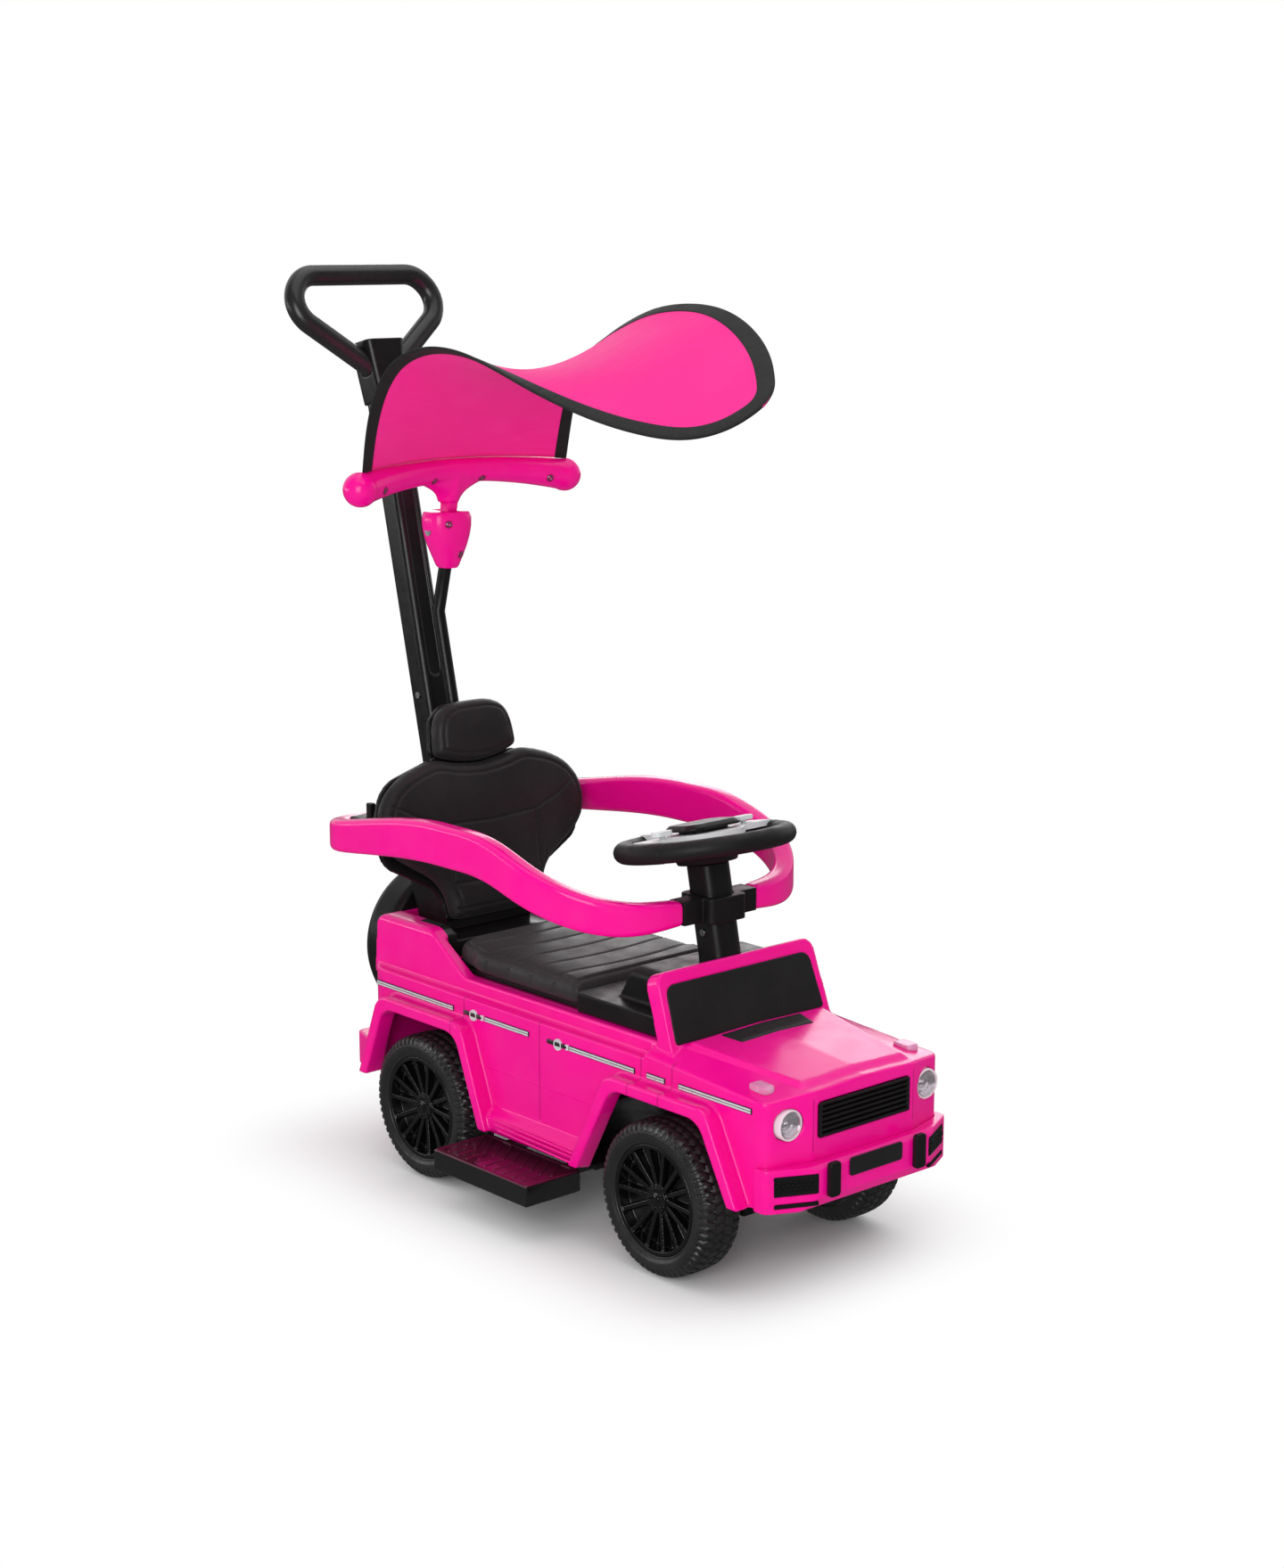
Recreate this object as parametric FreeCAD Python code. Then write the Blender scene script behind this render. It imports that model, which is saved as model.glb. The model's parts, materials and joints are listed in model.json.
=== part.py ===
import FreeCAD, Part
import math
import os
from FreeCAD import Vector

# Push car with handle: a ride-on toy with guard ring, canopy and push pole.
# Millimetres. +X is forward, +Y is the car's left, +Z is up and the floor is Z = 0.
# X is measured from the middle of the wheelbase; ORIGIN_SHIFT moves the finished car
# so that the middle of its whole length is X = 0.
ORIGIN_SHIFT = 57.0

# Fits
RUN_GAP = 0.06          # radial gap of a turning fit
SLIDE_GAP = 0.3         # gap each side of a sliding fit
FIT_GAP = 0.15          # gap each side of a pushed-in fixed fit
END_GAP = 0.8           # side gap between a turning piece and what holds it
WALL = 3.5              # moulded wall

# Wheels and axles
WHEEL_R = 82.5
TYRE_W = 54.0
RIM_R = 58.5
RIM_BARREL = 4.5        # thickness of the rim barrel
SPOKES = 14
SPOKE_W = 5.0
HUB_R = 14.0
AXLE_R = 5.0
WHEELBASE = 392.0
FRONT_AXLE_X = WHEELBASE / 2
REAR_AXLE_X = -WHEELBASE / 2
STUB_IN = 16.0          # depth of the blind bore past the middle of the wheel

# Body tub
BODY_HALF = 126.0
REAR_X = REAR_AXLE_X - 124.0
FRONT_X = FRONT_AXLE_X + 157.0
FRONT_SIDE_X = FRONT_X - 15.0  # where the front starts to turn into the sides
FRONT_FLAT = BODY_HALF - 54.0  # half width of the flat front
SILL_Z = 80.0
BELT_Z = 222.0
RIM_HALF = BODY_HALF - 12.0  # half width of the upper body round the seat
DECK_Z = 238.0          # top of the rim beside the seat
REAR_DECK_Z = 280.0
REAR_DECK_END_X = REAR_AXLE_X - 20.0
DECK_WELL_Z = REAR_DECK_Z - 16.0  # floor of the well that the backrest stands in
DECK_WELL_HALF = RIM_HALF - 34.0
TAIL_LIP = 10.0
RIM_SLOPE_END_X = REAR_AXLE_X + 46.0
CORNER_R = 14.0
TAIL_CORNER_R = 36.0
NOSE_Z = 112.0          # lower edge of the front
TAIL_Z = 100.0          # lower edge of the tail
SILL_OUT = 12.0         # sill stands out past the door
SILL_H = 26.0

# Wheel arches
ARCH_TOP_Z = 184.0
ARCH_HALF_TOP = 66.0
ARCH_HALF_FRONT = 120.0
ARCH_HALF_REAR = 106.0
ARCH_R = 24.0
ARCH_FOOT_Z = 84.0
FLARE_BAND = 14.0
FLARE_HALF = BODY_HALF + 20.0
WHEEL_FACE_Y = FLARE_HALF + 0.5  # outer face of the tyres
LINER_HALF = BODY_HALF - 68.0  # inner side of the wheel wells

# Bonnet and windscreen
BONNET_REAR_X = FRONT_AXLE_X - 10.0
BONNET_REAR_Z = BELT_Z + 19.0
BONNET_FRONT_Z = BELT_Z - 2.0
BONNET_EDGE_REAR_Z = BELT_Z + 4.0
BONNET_EDGE_FRONT_Z = BELT_Z - 8.0
BONNET_CREST_REAR = BODY_HALF - 26.0
BONNET_CREST_FRONT = BODY_HALF - 52.0
BONNET_CROWN = 2.5
SCREEN_X = FRONT_AXLE_X - 2.0  # foot of the windscreen's front face
SCREEN_Z = BELT_Z + 8.0
SCREEN_H = 84.0
SCREEN_LEAN = 20.0
SCREEN_THICK = 20.0
SCREEN_HALF_FOOT = BODY_HALF - 10.0
SCREEN_HALF_TOP = SCREEN_HALF_FOOT - 4.0
SCREEN_ROOT = 14.0      # part of the frame sunk in the bonnet
PANEL_BORDER_SIDE = 9.0
PANEL_BORDER_TOP = 14.0
PANEL_FOOT = 8.0
PANEL_DEPTH = 3.0

# Lamps, grille and trim
GRILLE_HALF = FRONT_FLAT - 7.0
GRILLE_Z = BELT_Z - 32.0
GRILLE_H = 36.0
GRILLE_BARS = 5
GRILLE_DEPTH = 9.0
LAMP_R = 16.0
LAMP_Y = BODY_HALF - 27.0
LAMP_Z = BELT_Z - 31.0
LAMP_RIM = 2.0
LAMP_DEPTH = 14.0
LAMP_OUT = 3.0          # bowl stands out past the front at its middle
TURN_LAMP_X = FRONT_X - 41.0
TURN_LAMP_Y = BODY_HALF - 22.0
TURN_LAMP_L = 28.0
TURN_LAMP_W = 16.0
TURN_LAMP_H = 11.0
VENT_X = SCREEN_X + 23.0
VENT_L = 26.0
VENT_HALF = BONNET_CREST_REAR - 42.0
VENT_T = 1.6
TRIM_Z = BELT_Z - 17.0
TRIM_H = 6.0
TRIM_T = 1.2
TRIM_RUNS = ((REAR_X + 24.0, REAR_AXLE_X + 43.0), (REAR_AXLE_X + 98.0, REAR_AXLE_X + 174.0),
             (FRONT_AXLE_X - 151.0, FRONT_AXLE_X - 47.0), (FRONT_AXLE_X - 29.0, FRONT_AXLE_X - 1.0),
             (FRONT_AXLE_X + 19.0, FRONT_X - 32.0))
HANDLE_XS = (REAR_AXLE_X + 79.0, FRONT_AXLE_X - 169.0)
HANDLE_L = 34.0
HANDLE_H = 11.0
HANDLE_Z = TRIM_Z + 1.0 # Bumpers
BUMPER_OUT = 16.0       # front bumper ahead of the body
BUMPER_X = FRONT_X + BUMPER_OUT
BUMPER_CORNER_X = FRONT_X - 8.0
BUMPER_HALF_FRONT = BODY_HALF - 44.0
BUMPER_HALF = BODY_HALF + 5.0
BUMPER_REACH = 16.0     # side returns run back this far behind the corner
BUMPER_TOP_Z = 150.0
BUMPER_LOW_Z = 105.0
INSERT_DEPTH = 3.5
INSERT_IN_Y = BUMPER_HALF - 51.0
INSERT_OUT_Y = BUMPER_HALF - 9.0
INSERT_Z = BUMPER_TOP_Z - 17.0
INSERT_H = 20.0
SLOT_Z = BUMPER_LOW_Z + 7.5
SLOT_H = 4.0
GUARD_Y = INSERT_IN_Y - 18.0
GUARD_W = 15.0
GUARD_H = 36.0
GUARD_T = 6.0
GUARD_Z = BUMPER_TOP_Z - 16.0
PLATE_HALF = GUARD_Y - 24.5
PLATE_H = 19.0
PLATE_Z = BUMPER_TOP_Z - 10.0
PLATE_T = 2.5
REAR_BUMPER_X = REAR_X - 23.0
REAR_BUMPER_HALF = BODY_HALF + 8.0
REAR_BUMPER_LOW_Z = 98.0
REAR_BUMPER_TOP_Z = 136.0

# Chassis and steering gear
FLOOR_Z = 72.0          # underside of the floor plate
FLOOR_T = 7.0
FLOOR_HALF = BODY_HALF - 14.0
FLOOR_FRONT_X = FRONT_AXLE_X - 126.0
FLOOR_REAR_X = REAR_AXLE_X + 112.0
TAIL_HALF = BODY_HALF - 50.0  # half width of the floor between the rear wheels
RIB_T = 9.0
RIB_HALF_L = 20.0
RIB_TOP_Z = 112.0
WELL_HALF = BODY_HALF - 72.0  # half width of the front subframe
SUB_REAR_X = FRONT_AXLE_X - 78.0
SUB_FRONT_X = FRONT_X - 7.0
SUB_LOW_FRONT_X = FRONT_AXLE_X + 40.0
SUB_TOP_Z = 106.0       # underside of the upper plate
SUB_LOW_Z = 59.0        # top of the lower plate
SUB_T = 6.0
KINGPIN_Y = BODY_HALF - 54.0
KINGPIN_R = 4.0
LUG_HALF_L = 12.0
KNUCKLE_R = 10.0
KNUCKLE_ARM = 32.0
CRANK = 24.0
CRANK_LIFT = 7.5        # crank above the tie rod, along the tilted shaft
TIE_Z = 70.0            # underside of the tie rod
TIE_T = 5.0
TIE_W = 14.0
TIE_PIN_R = 3.0
TIE_PIN_HEAD = 2.0
CRANK_SLOT_L = 14.0
CRANK_SLOT_GAP = 0.7
ARM_T = 6.0
COLUMN_TILT = 11.5
SHAFT_R = 6.0
BUSH_R = 10.0           # bearing boss of the shaft, and the hollow of the column
BUSH_L = 14.0

# Console, steering column and wheel
POCKET_Z = DECK_Z - 2.0  # floor of the seat well
POCKET_HALF = RIM_HALF - 16.0
CONSOLE_Z = POCKET_Z + 24.0
DASH_Z = 297.0
DASH_HALF = POCKET_HALF - 16.0
DASH_FOOT_X = SCREEN_X - 122.0
DASH_TOP_X = SCREEN_X - 98.0
WHEEL_CENTRE_Z = 421.0
COLUMN_W = 38.0
COLUMN_R = 11.0
COLUMN_FOOT_Z = POCKET_Z + 4.0
COLUMN_TOP_Z = WHEEL_CENTRE_Z - 21.6
STEER_R = 97.0          # outer radius of the steering wheel
STEER_TUBE_R = 11.0
STEER_HUB_R = 44.0
BACK_COVER_T = 27.0
HUB_SEAT = 3.0          # depth of the shaft's end in the back cover
SPOKE_PLATE_T = 6.0
SPOKE_TOP = 12.0        # top of the spokes above the middle of the rim
STEER_SPOKE_W = 34.0
PAD_HALF_Y = 23.0
PAD_HALF_X = 19.0
PAD_T = 7.0
PAD_CAP_Y = 38.0        # cap of the pad, over the spokes
PAD_CAP_X = 27.0
PAD_CAP_R = 16.0
PAD_CROWN = 4.0         # rounded part of the cap
PAD_BEVEL = 5.0
COVER_FLOOR = 5.0       # wall of the back cover below the pad
PAD_LIFT = 3.2          # room to press a pad or button in
BUTTON_Y = 58.0
BUTTON_R = 9.0
BUTTON_T = 5.0
STEM_R = 3.0

# Seat and storage
SEAT_REAR_X = REAR_AXLE_X - 7.0
SEAT_FRONT_X = SCREEN_X - 164.0
SEAT_HALF = POCKET_HALF - 2.0
SEAT_OVER = 8.0         # cushion and console reach out over the rim
SEAT_SIDE_GAP = 0.8
SEAT_END_GAP = 0.5
SEAT_NARROW_L = 44.0    # length of the cushion between the rear slopes
SEAT_WIDE_FROM = 68.0   # from its rear end to its full width
SEAT_BASE_T = 6.0
SEAT_EDGE_Z = POCKET_Z + 26.0
SEAT_TOP_Z = POCKET_Z + 37.0
SEAT_CHANNELS = 6
CHANNEL_DEPTH = 3.0
BIN_REAR_X = SEAT_REAR_X + 17.0
BIN_FRONT_X = SEAT_FRONT_X - 18.0
BIN_HALF = SEAT_HALF - 18.0
BIN_FLOOR_Z = 118.0
BIN_LIP = 6.0
BIN_LIP_T = 1.5

# Backrest
BACK_X = REAR_AXLE_X - 29.0  # front face at the rear deck
BACK_LEAN = 12.0
BACK_SHELL_T = 7.0
BACK_PAD_T = 16.0
BACK_CROWN = 8.0
BACK_CROWN_IN = 28.0    # the crown is this much smaller all round
HEAD_CROWN_IN = 16.0
STEM_HALF = 66.0
WING_OVER = 23.0        # wings beyond the side of the body
WING_HALF = BODY_HALF + WING_OVER
WING_S = 118.0          # height of the widest point above the deck
SHOULDER_S = 186.0
HEAD_HALF = 53.0
BACK_H = 247.0
SEAM_GAP = 2.0
HEAD_DIP = 11.0         # seam under the headrest, lower in its middle
HEAD_DIP_R = 90.0
BACK_FOOT_HALF = 60.0        # backrest foot round the pole
BACK_FOOT_RISE = 74.0

# Guard ring
ARM_W = 22.0
ARM_H_MID = 46.0
ARM_H_FRONT = 26.0
ARM_H_REAR = 34.0
RING_CLEAR = 23.0       # from the wings to the middle of the arms
RING_HALF = WING_HALF + RING_CLEAR
RING_FRONT_Z = 356.0
RING_REAR_Z = 378.0
RING_PEAK_Z = 406.0
RING_PEAK_X = REAR_AXLE_X + 86.0
RING_FRONT_R = 117.0
RING_REAR_R = 46.0
RING_LEVEL = 0.15       # share of an arm's front run that is level at each end of its slope
RING_STATIONS = 22
COLLAR_HALF_Y = 52.0
COLLAR_H = 27.0
COLLAR_WALL = 7.0
BRACKET_HALF_Y = 104.0
BRACKET_H = 28.0
BRACKET_T = 16.0

# Push pole and handle
POLE_W = 36.0
POLE_D = 34.0
POLE_R = 8.0
POLE_X = REAR_AXLE_X - 101.0  # axis where it leaves the rear deck
POLE_LEAN = 13.0
POLE_DOWN = 80.0        # length below the deck
POLE_UP = 648.0         # length above the deck
GROOVE_W = 18.0
GROOVE_DEPTH = 3.0
GROOVE_FOOT = 265.0
SOCKET_WALL = 5.0
BLOCK_W = 54.0
BLOCK_D = 42.0
BLOCK_H = 72.0
BLOCK_CAP = 12.0        # block above the foot line of the handle loop
BLOCK_OVER = 24.0       # length of pole inside the block
LOOP_LEAN = 22.0
LOOP_TUBE_R = 12.0
LOOP_FOOT_Y = 16.0
LOOP_FOOT_S = -20.0
LOOP_SIDE_Y = 112.0
LOOP_SIDE_S = 56.0
LOOP_TOP_Y = 80.0
LOOP_TOP_S = 94.0
LOOP_BEND_R = 32.0

# Canopy
POST_R = 7.5
POST_AHEAD = 39.0       # post axis ahead of the pole axis
POST_FOOT_S = 168.0
POST_BEND_S = 338.0
JOINT_X = POLE_X - 20.0
JOINT_LOW_Z = 670.0
JOINT_TOP_Z = 733.0
JOINT_HALF_Y = 25.0
JOINT_HALF_X = 22.0
JOINT_FOOT_R = 11.0
PIVOT_Z = JOINT_TOP_Z - 19.0
PIVOT_R = 3.0
TONGUE_T = 14.0
TONGUE_R = 8.0
TILT_ROOM = 26.0        # degrees the tongue may tilt in the housing
BOW_X = JOINT_X + 36.0
BOW_Z = PIVOT_Z + 57.0
BOW_HALF = 146.0
BOW_BACK = 24.0         # middle of the bow behind its ends
BOW_RISE = 12.0
BOW_R_MID = 14.0
BOW_R_END = 18.5
BOW_BALL_R = 19.5
CLOTH_T = 2.2
CLOTH_SEAT = 0.6        # edge of the cloth lies this far below the top of the bow's ball ends
CLOTH_SAG = 32.0        # middle of the shade below the straight line between its edges
CLOTH_SAG_END = 0.7     # share of the shade's length that sags
# Cloth edges from the bow to the front tip, as photographed: the right one sags, the left one stands high.
# Each point is ahead of the bow's ends, inside of them and above them.
CLOTH_RIGHT = ((14.0, 4.0, 76.0), (47.0, 8.0, 134.0), (108.0, 14.0, 156.0), (185.0, 21.0, 144.0),
               (253.0, 29.0, 119.0), (312.0, 38.0, 99.0), (410.0, 51.0, 79.0), (471.0, 70.0, 79.0),
               (503.0, 110.0, 100.0))
CLOTH_LEFT = ((28.0, 10.0, 76.0), (68.0, 24.0, 129.0), (122.0, 34.0, 163.0), (171.0, 42.0, 182.0),
               (221.0, 50.0, 195.0), (273.0, 56.0, 200.0), (341.0, 70.0, 196.0), (411.0, 92.0, 176.0),
               (465.0, 122.0, 147.0))

# Spare wheel and footrests
SPARE_R = 94.0
SPARE_Z = BELT_Z + 4.0
SPARE_T = 50.0
SPARE_FACE_R = 68.0
SPARE_DISH = 6.0
FOOT_FRONT_X = FRONT_AXLE_X - WHEEL_R - 62.5
FOOT_REAR_X = REAR_AXLE_X + WHEEL_R + 5.5
FOOT_IN_Y = BODY_HALF - 10.0
FOOT_OUT_Y = FOOT_IN_Y + 76.0
FOOT_TOP_Z = SILL_Z - 10.0
FOOT_H = 25.0
TREAD_RIBS = 9
TREAD_H = 1.5
RUNNER_W = 14.0
RUNNER_H = 10.0
RUNNER_END_Y = 20.0
RUNNER_XS = (FOOT_REAR_X + 26.0, FOOT_FRONT_X - 29.0)
RUNNER_STAGGER = 10.0   # right and left runners pass each other by this much each way
SLEEVE_WALL = 3.0
SLEEVE_OUT_Y = 52.0
SLEEVE_IN_Y = 20.0
SCREW_R = 4.0
SCREW_T = 2.0
SCREW_POLE_S = 245.0    # along the pole from the rear deck
SCREW_COLUMN_Z = 330.0

# Values that follow from the sizes above
WHEEL_Y = WHEEL_FACE_Y - TYRE_W / 2
AXLE_Z = WHEEL_R
BORE_R = AXLE_R + RUN_GAP
TIE_X = FRONT_AXLE_X - KNUCKLE_ARM
SHAFT_FOOT = Vector(TIE_X + CRANK, 0, TIE_Z + TIE_T)
TILT = math.radians(COLUMN_TILT)
RING_FRONT_X = SHAFT_FOOT.x - (RING_FRONT_Z - SHAFT_FOOT.z) * math.tan(TILT)
RING_REAR_X = POLE_X - 33.0
COLUMN_AXIS = Vector(-math.sin(TILT), 0, math.cos(TILT))
COLUMN_FRONT = Vector(math.cos(TILT), 0, math.sin(TILT))
POLE_TILT = math.radians(POLE_LEAN)
POLE_AXIS = Vector(-math.sin(POLE_TILT), 0, math.cos(POLE_TILT))
POLE_FRONT = Vector(math.cos(POLE_TILT), 0, math.sin(POLE_TILT))
POLE_FOOT = Vector(POLE_X, 0, REAR_DECK_Z)
POLE_END = POLE_UP + BLOCK_CAP - BLOCK_H + BLOCK_OVER
BACK_TILT = math.radians(BACK_LEAN)
BACK_UP = Vector(-math.sin(BACK_TILT), 0, math.cos(BACK_TILT))
BACK_FRONT = Vector(math.cos(BACK_TILT), 0, math.sin(BACK_TILT))
SCREEN_TILT = math.radians(SCREEN_LEAN)
SCREEN_UP = Vector(-math.sin(SCREEN_TILT), 0, math.cos(SCREEN_TILT))
SCREEN_FRONT = Vector(math.cos(SCREEN_TILT), 0, math.sin(SCREEN_TILT))
LOOP_TILT = math.radians(LOOP_LEAN)
LOOP_UP = Vector(-math.sin(LOOP_TILT), 0, math.cos(LOOP_TILT))
SIDEWAYS = Vector(0, 1, 0)
UPRIGHT = Vector(0, 0, 1)
FORWARD = Vector(1, 0, 0)


# Drawing helpers

def rounded_wire(points, place, radius=0.0):
    """Closed outline through 2-D points; a point's third value is its own corner radius."""
    corners = []
    count = len(points)
    for index in range(count):
        here = points[index]
        corner_r = here[2] if len(here) > 2 else radius
        before = points[index - 1]
        after = points[(index + 1) % count]
        to_before = (before[0] - here[0], before[1] - here[1])
        to_after = (after[0] - here[0], after[1] - here[1])
        len_before = math.hypot(*to_before)
        len_after = math.hypot(*to_after)
        unit_before = (to_before[0] / len_before, to_before[1] / len_before)
        unit_after = (to_after[0] / len_after, to_after[1] / len_after)
        cosine = unit_before[0] * unit_after[0] + unit_before[1] * unit_after[1]
        half = math.acos(max(-1.0, min(1.0, cosine))) / 2
        if corner_r <= 0 or half > math.radians(89.5):
            corners.append(((here[0], here[1]), None, (here[0], here[1])))
            continue
        reach = min(corner_r / math.tan(half), 0.48 * len_before, 0.48 * len_after)
        corner_r = reach * math.tan(half)
        middle = (unit_before[0] + unit_after[0], unit_before[1] + unit_after[1])
        length = math.hypot(*middle)
        inward = corner_r / math.sin(half) - corner_r
        start = (here[0] + unit_before[0] * reach, here[1] + unit_before[1] * reach)
        crest = (here[0] + middle[0] / length * inward, here[1] + middle[1] / length * inward)
        end = (here[0] + unit_after[0] * reach, here[1] + unit_after[1] * reach)
        corners.append((start, crest, end))
    edges = []
    for index in range(count):
        start, crest, end = corners[index]
        if crest is not None:
            edges.append(Part.Arc(place(*start), place(*crest), place(*end)).toShape())
        next_start = corners[(index + 1) % count][0]
        if math.dist(end, next_start) > 1e-6:
            edges.append(Part.makeLine(place(*end), place(*next_start)))
    return Part.Wire(edges)


def side_prism(points, y0, y1, radius=0.0):
    """Outline in X and Z, run from y0 to y1."""
    wire = rounded_wire(points, lambda x, z: Vector(x, y0, z), radius)
    return Part.Face(wire).extrude(Vector(0, y1 - y0, 0))


def plan_prism(points, z0, z1, radius=0.0):
    """Outline in X and Y, run from z0 to z1."""
    wire = rounded_wire(points, lambda x, y: Vector(x, y, z0), radius)
    return Part.Face(wire).extrude(Vector(0, 0, z1 - z0))


def front_prism(points, x0, x1, radius=0.0):
    """Outline in Y and Z, run from x0 to x1."""
    wire = rounded_wire(points, lambda y, z: Vector(x0, y, z), radius)
    return Part.Face(wire).extrude(Vector(x1 - x0, 0, 0))


def block(x0, x1, y0, y1, z0, z1):
    return Part.makeBox(x1 - x0, y1 - y0, z1 - z0, Vector(x0, y0, z0))


def rod(radius, start, end):
    way = end.sub(start)
    return Part.makeCylinder(radius, way.Length, start, way)


def oblong(half_u, half_v, radius):
    return [(-half_u, -half_v, radius), (half_u, -half_v, radius), (half_u, half_v, radius),
            (-half_u, half_v, radius)]


def tilted_prism(points, origin, u_axis, v_axis, way, radius=0.0):
    """Outline on a tilted plane, run along the vector way."""
    wire = rounded_wire(points, lambda u, v: origin + u_axis * u + v_axis * v, radius)
    return Part.Face(wire).extrude(way)


def mirrored(shape):
    return shape.mirror(Vector(0, 0, 0), SIDEWAYS)


def for_side(shape, side):
    """A piece drawn on the left (+Y), for side +1 left or -1 right."""
    return shape if side > 0 else mirrored(shape)


def both_sides(shape):
    return Part.makeCompound([shape, mirrored(shape)])


def joined(shapes):
    result = shapes[0].fuse(shapes[1:]) if len(shapes) > 1 else shapes[0]
    return result.removeSplitter()


def turned(profile, centre):
    """Profile of (radius, y) points turned about the Y axis through centre."""
    wire = rounded_wire(profile, lambda r, y: Vector(centre.x + r, centre.y + y, centre.z))
    return Part.Face(wire).revolve(centre, SIDEWAYS, 360)


# Wheels

def tyre(centre):
    half = TYRE_W / 2
    shoulder = 7.0
    profile = [(RIM_R, -half + 3), (RIM_R, half - 3), (RIM_R + 8, half, 3),
               (WHEEL_R - shoulder, half - 1, 4), (WHEEL_R, half - shoulder, 4),
               (WHEEL_R, shoulder - half, 4), (WHEEL_R - shoulder, 1 - half, 4), (RIM_R + 8, -half, 3)]
    return turned(profile, centre)


def rim(centre):
    """Rim with its spokes on the +Y face; the bore is blind behind the hub cap."""
    half = TYRE_W / 2
    barrel_out = RIM_R - FIT_GAP
    barrel_in = barrel_out - RIM_BARREL
    plate_in = 6.0
    plate_out = 10.0
    hub_face = 20.0
    profile = [(0, STUB_IN), (BORE_R, STUB_IN), (BORE_R, -half + 1), (HUB_R, -half + 1), (HUB_R, plate_in),
               (barrel_in, plate_in), (barrel_in, -half + 5), (barrel_out, -half + 5),
               (barrel_out, half - 3), (barrel_in, half - 3), (barrel_in, plate_out), (HUB_R, plate_out),
               (HUB_R, hub_face), (0, hub_face)]
    pieces = [turned(profile, centre)]
    spoke = [(HUB_R - 2, plate_out - 1), (barrel_in + 2, plate_out - 1), (barrel_in + 2, half - 5),
             (HUB_R - 2, hub_face - 3)]
    for index in range(SPOKES):
        wire = rounded_wire(spoke, lambda r, y: Vector(centre.x + r, centre.y + y, centre.z - SPOKE_W / 2))
        solid = Part.Face(wire).extrude(Vector(0, 0, SPOKE_W))
        solid.rotate(centre, SIDEWAYS, 360.0 * index / SPOKES)
        pieces.append(solid)
    return joined(pieces)


def wheel(axle_x, side):
    centre = Vector(axle_x, WHEEL_Y, AXLE_Z)
    return for_side(tyre(centre), side), for_side(rim(centre), side)


# Body

def arch_outline(half_foot, grow, foot_z):
    """Boxy arch outline about X = 0; grow sets it out on both flanks and the top."""
    slope = (half_foot - ARCH_HALF_TOP) / (ARCH_TOP_Z - ARCH_FOOT_Z)
    low = half_foot + grow + slope * (ARCH_FOOT_Z - foot_z)
    top = ARCH_HALF_TOP + grow * 0.7
    return [(-low, foot_z, 0), (-top, ARCH_TOP_Z + grow, ARCH_R), (top, ARCH_TOP_Z + grow, ARCH_R),
            (low, foot_z, 0)]


def arch_prism(axle_x, half_foot, grow, foot_z, y0, y1):
    points = [(axle_x + p[0], p[1], p[2]) for p in arch_outline(half_foot, grow, foot_z)]
    return side_prism(points, y0, y1)


def plan_form(inset, z0, z1):
    half = BODY_HALF - inset
    tail_r = TAIL_CORNER_R - inset
    points = [(REAR_X + inset, -half, tail_r), (FRONT_SIDE_X - inset, -half), (FRONT_X - inset, -FRONT_FLAT),
              (FRONT_X - inset, FRONT_FLAT), (FRONT_SIDE_X - inset, half), (REAR_X + inset, half, tail_r)]
    return plan_prism(points, z0, z1, CORNER_R)


def bonnet_form(inset):
    """Raised bonnet running past the front, cut to the plan later."""
    sections = []
    stations = ((BONNET_REAR_X - 24, BONNET_CREST_REAR, BONNET_REAR_Z, BONNET_EDGE_REAR_Z),
                (FRONT_X + 6, BONNET_CREST_FRONT, BONNET_FRONT_Z, BONNET_EDGE_FRONT_Z))
    for x, crest, crest_z, edge_z in stations:
        half = BODY_HALF - inset
        low = NOSE_Z + 60
        points = [(-half, low), (-half, edge_z - inset), (-crest, crest_z - inset),
                  (0, crest_z + BONNET_CROWN - inset), (crest, crest_z - inset), (half, edge_z - inset),
                  (half, low)]
        sections.append(rounded_wire(points, lambda y, z, at=x: Vector(at, y, z)))
    return Part.makeLoft(sections, True, True)


def tub_form(inset):
    """Lower body up to the belt, with the bonnet; an inset one is open below."""
    foot = 30.0 if inset else 0.0
    side = [(REAR_X - 1, TAIL_Z - foot), (REAR_X - 1, BELT_Z - inset, 10), (BONNET_REAR_X, BELT_Z - inset),
            (FRONT_X + 1, BONNET_EDGE_FRONT_Z - 1 - inset), (FRONT_X + 1, NOSE_Z - foot),
            (FRONT_AXLE_X + ARCH_HALF_FRONT, SILL_Z - foot), (REAR_AXLE_X - ARCH_HALF_REAR, SILL_Z - foot)]
    lower = side_prism(side, -BODY_HALF - 1, BODY_HALF + 1)
    bonnet = bonnet_form(inset)
    return lower.fuse(bonnet).common(plan_form(inset, SILL_Z - 60, REAR_DECK_Z))


def rim_form():
    """Upper body round the seat, up to the rear deck."""
    side = [(REAR_X + 4, BELT_Z - 10), (REAR_X + 4, REAR_DECK_Z, 12), (REAR_DECK_END_X, REAR_DECK_Z, 20),
            (RIM_SLOPE_END_X, DECK_Z, 20), (SCREEN_X - 22, DECK_Z), (SCREEN_X - 22, BELT_Z - 10)]
    form = side_prism(side, -RIM_HALF, RIM_HALF)
    half = RIM_HALF
    top = REAR_DECK_Z
    section = [(-half - 6, BELT_Z - 12), (-half - 6, BELT_Z - 4, 4), (-half, BELT_Z + 4, 6),
               (-half + 4, top, 8), (half - 4, top, 8), (half, BELT_Z + 4, 6), (half + 6, BELT_Z - 4, 4),
               (half + 6, BELT_Z - 12)]
    return form.common(front_prism(section, REAR_X, SCREEN_X))


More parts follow.
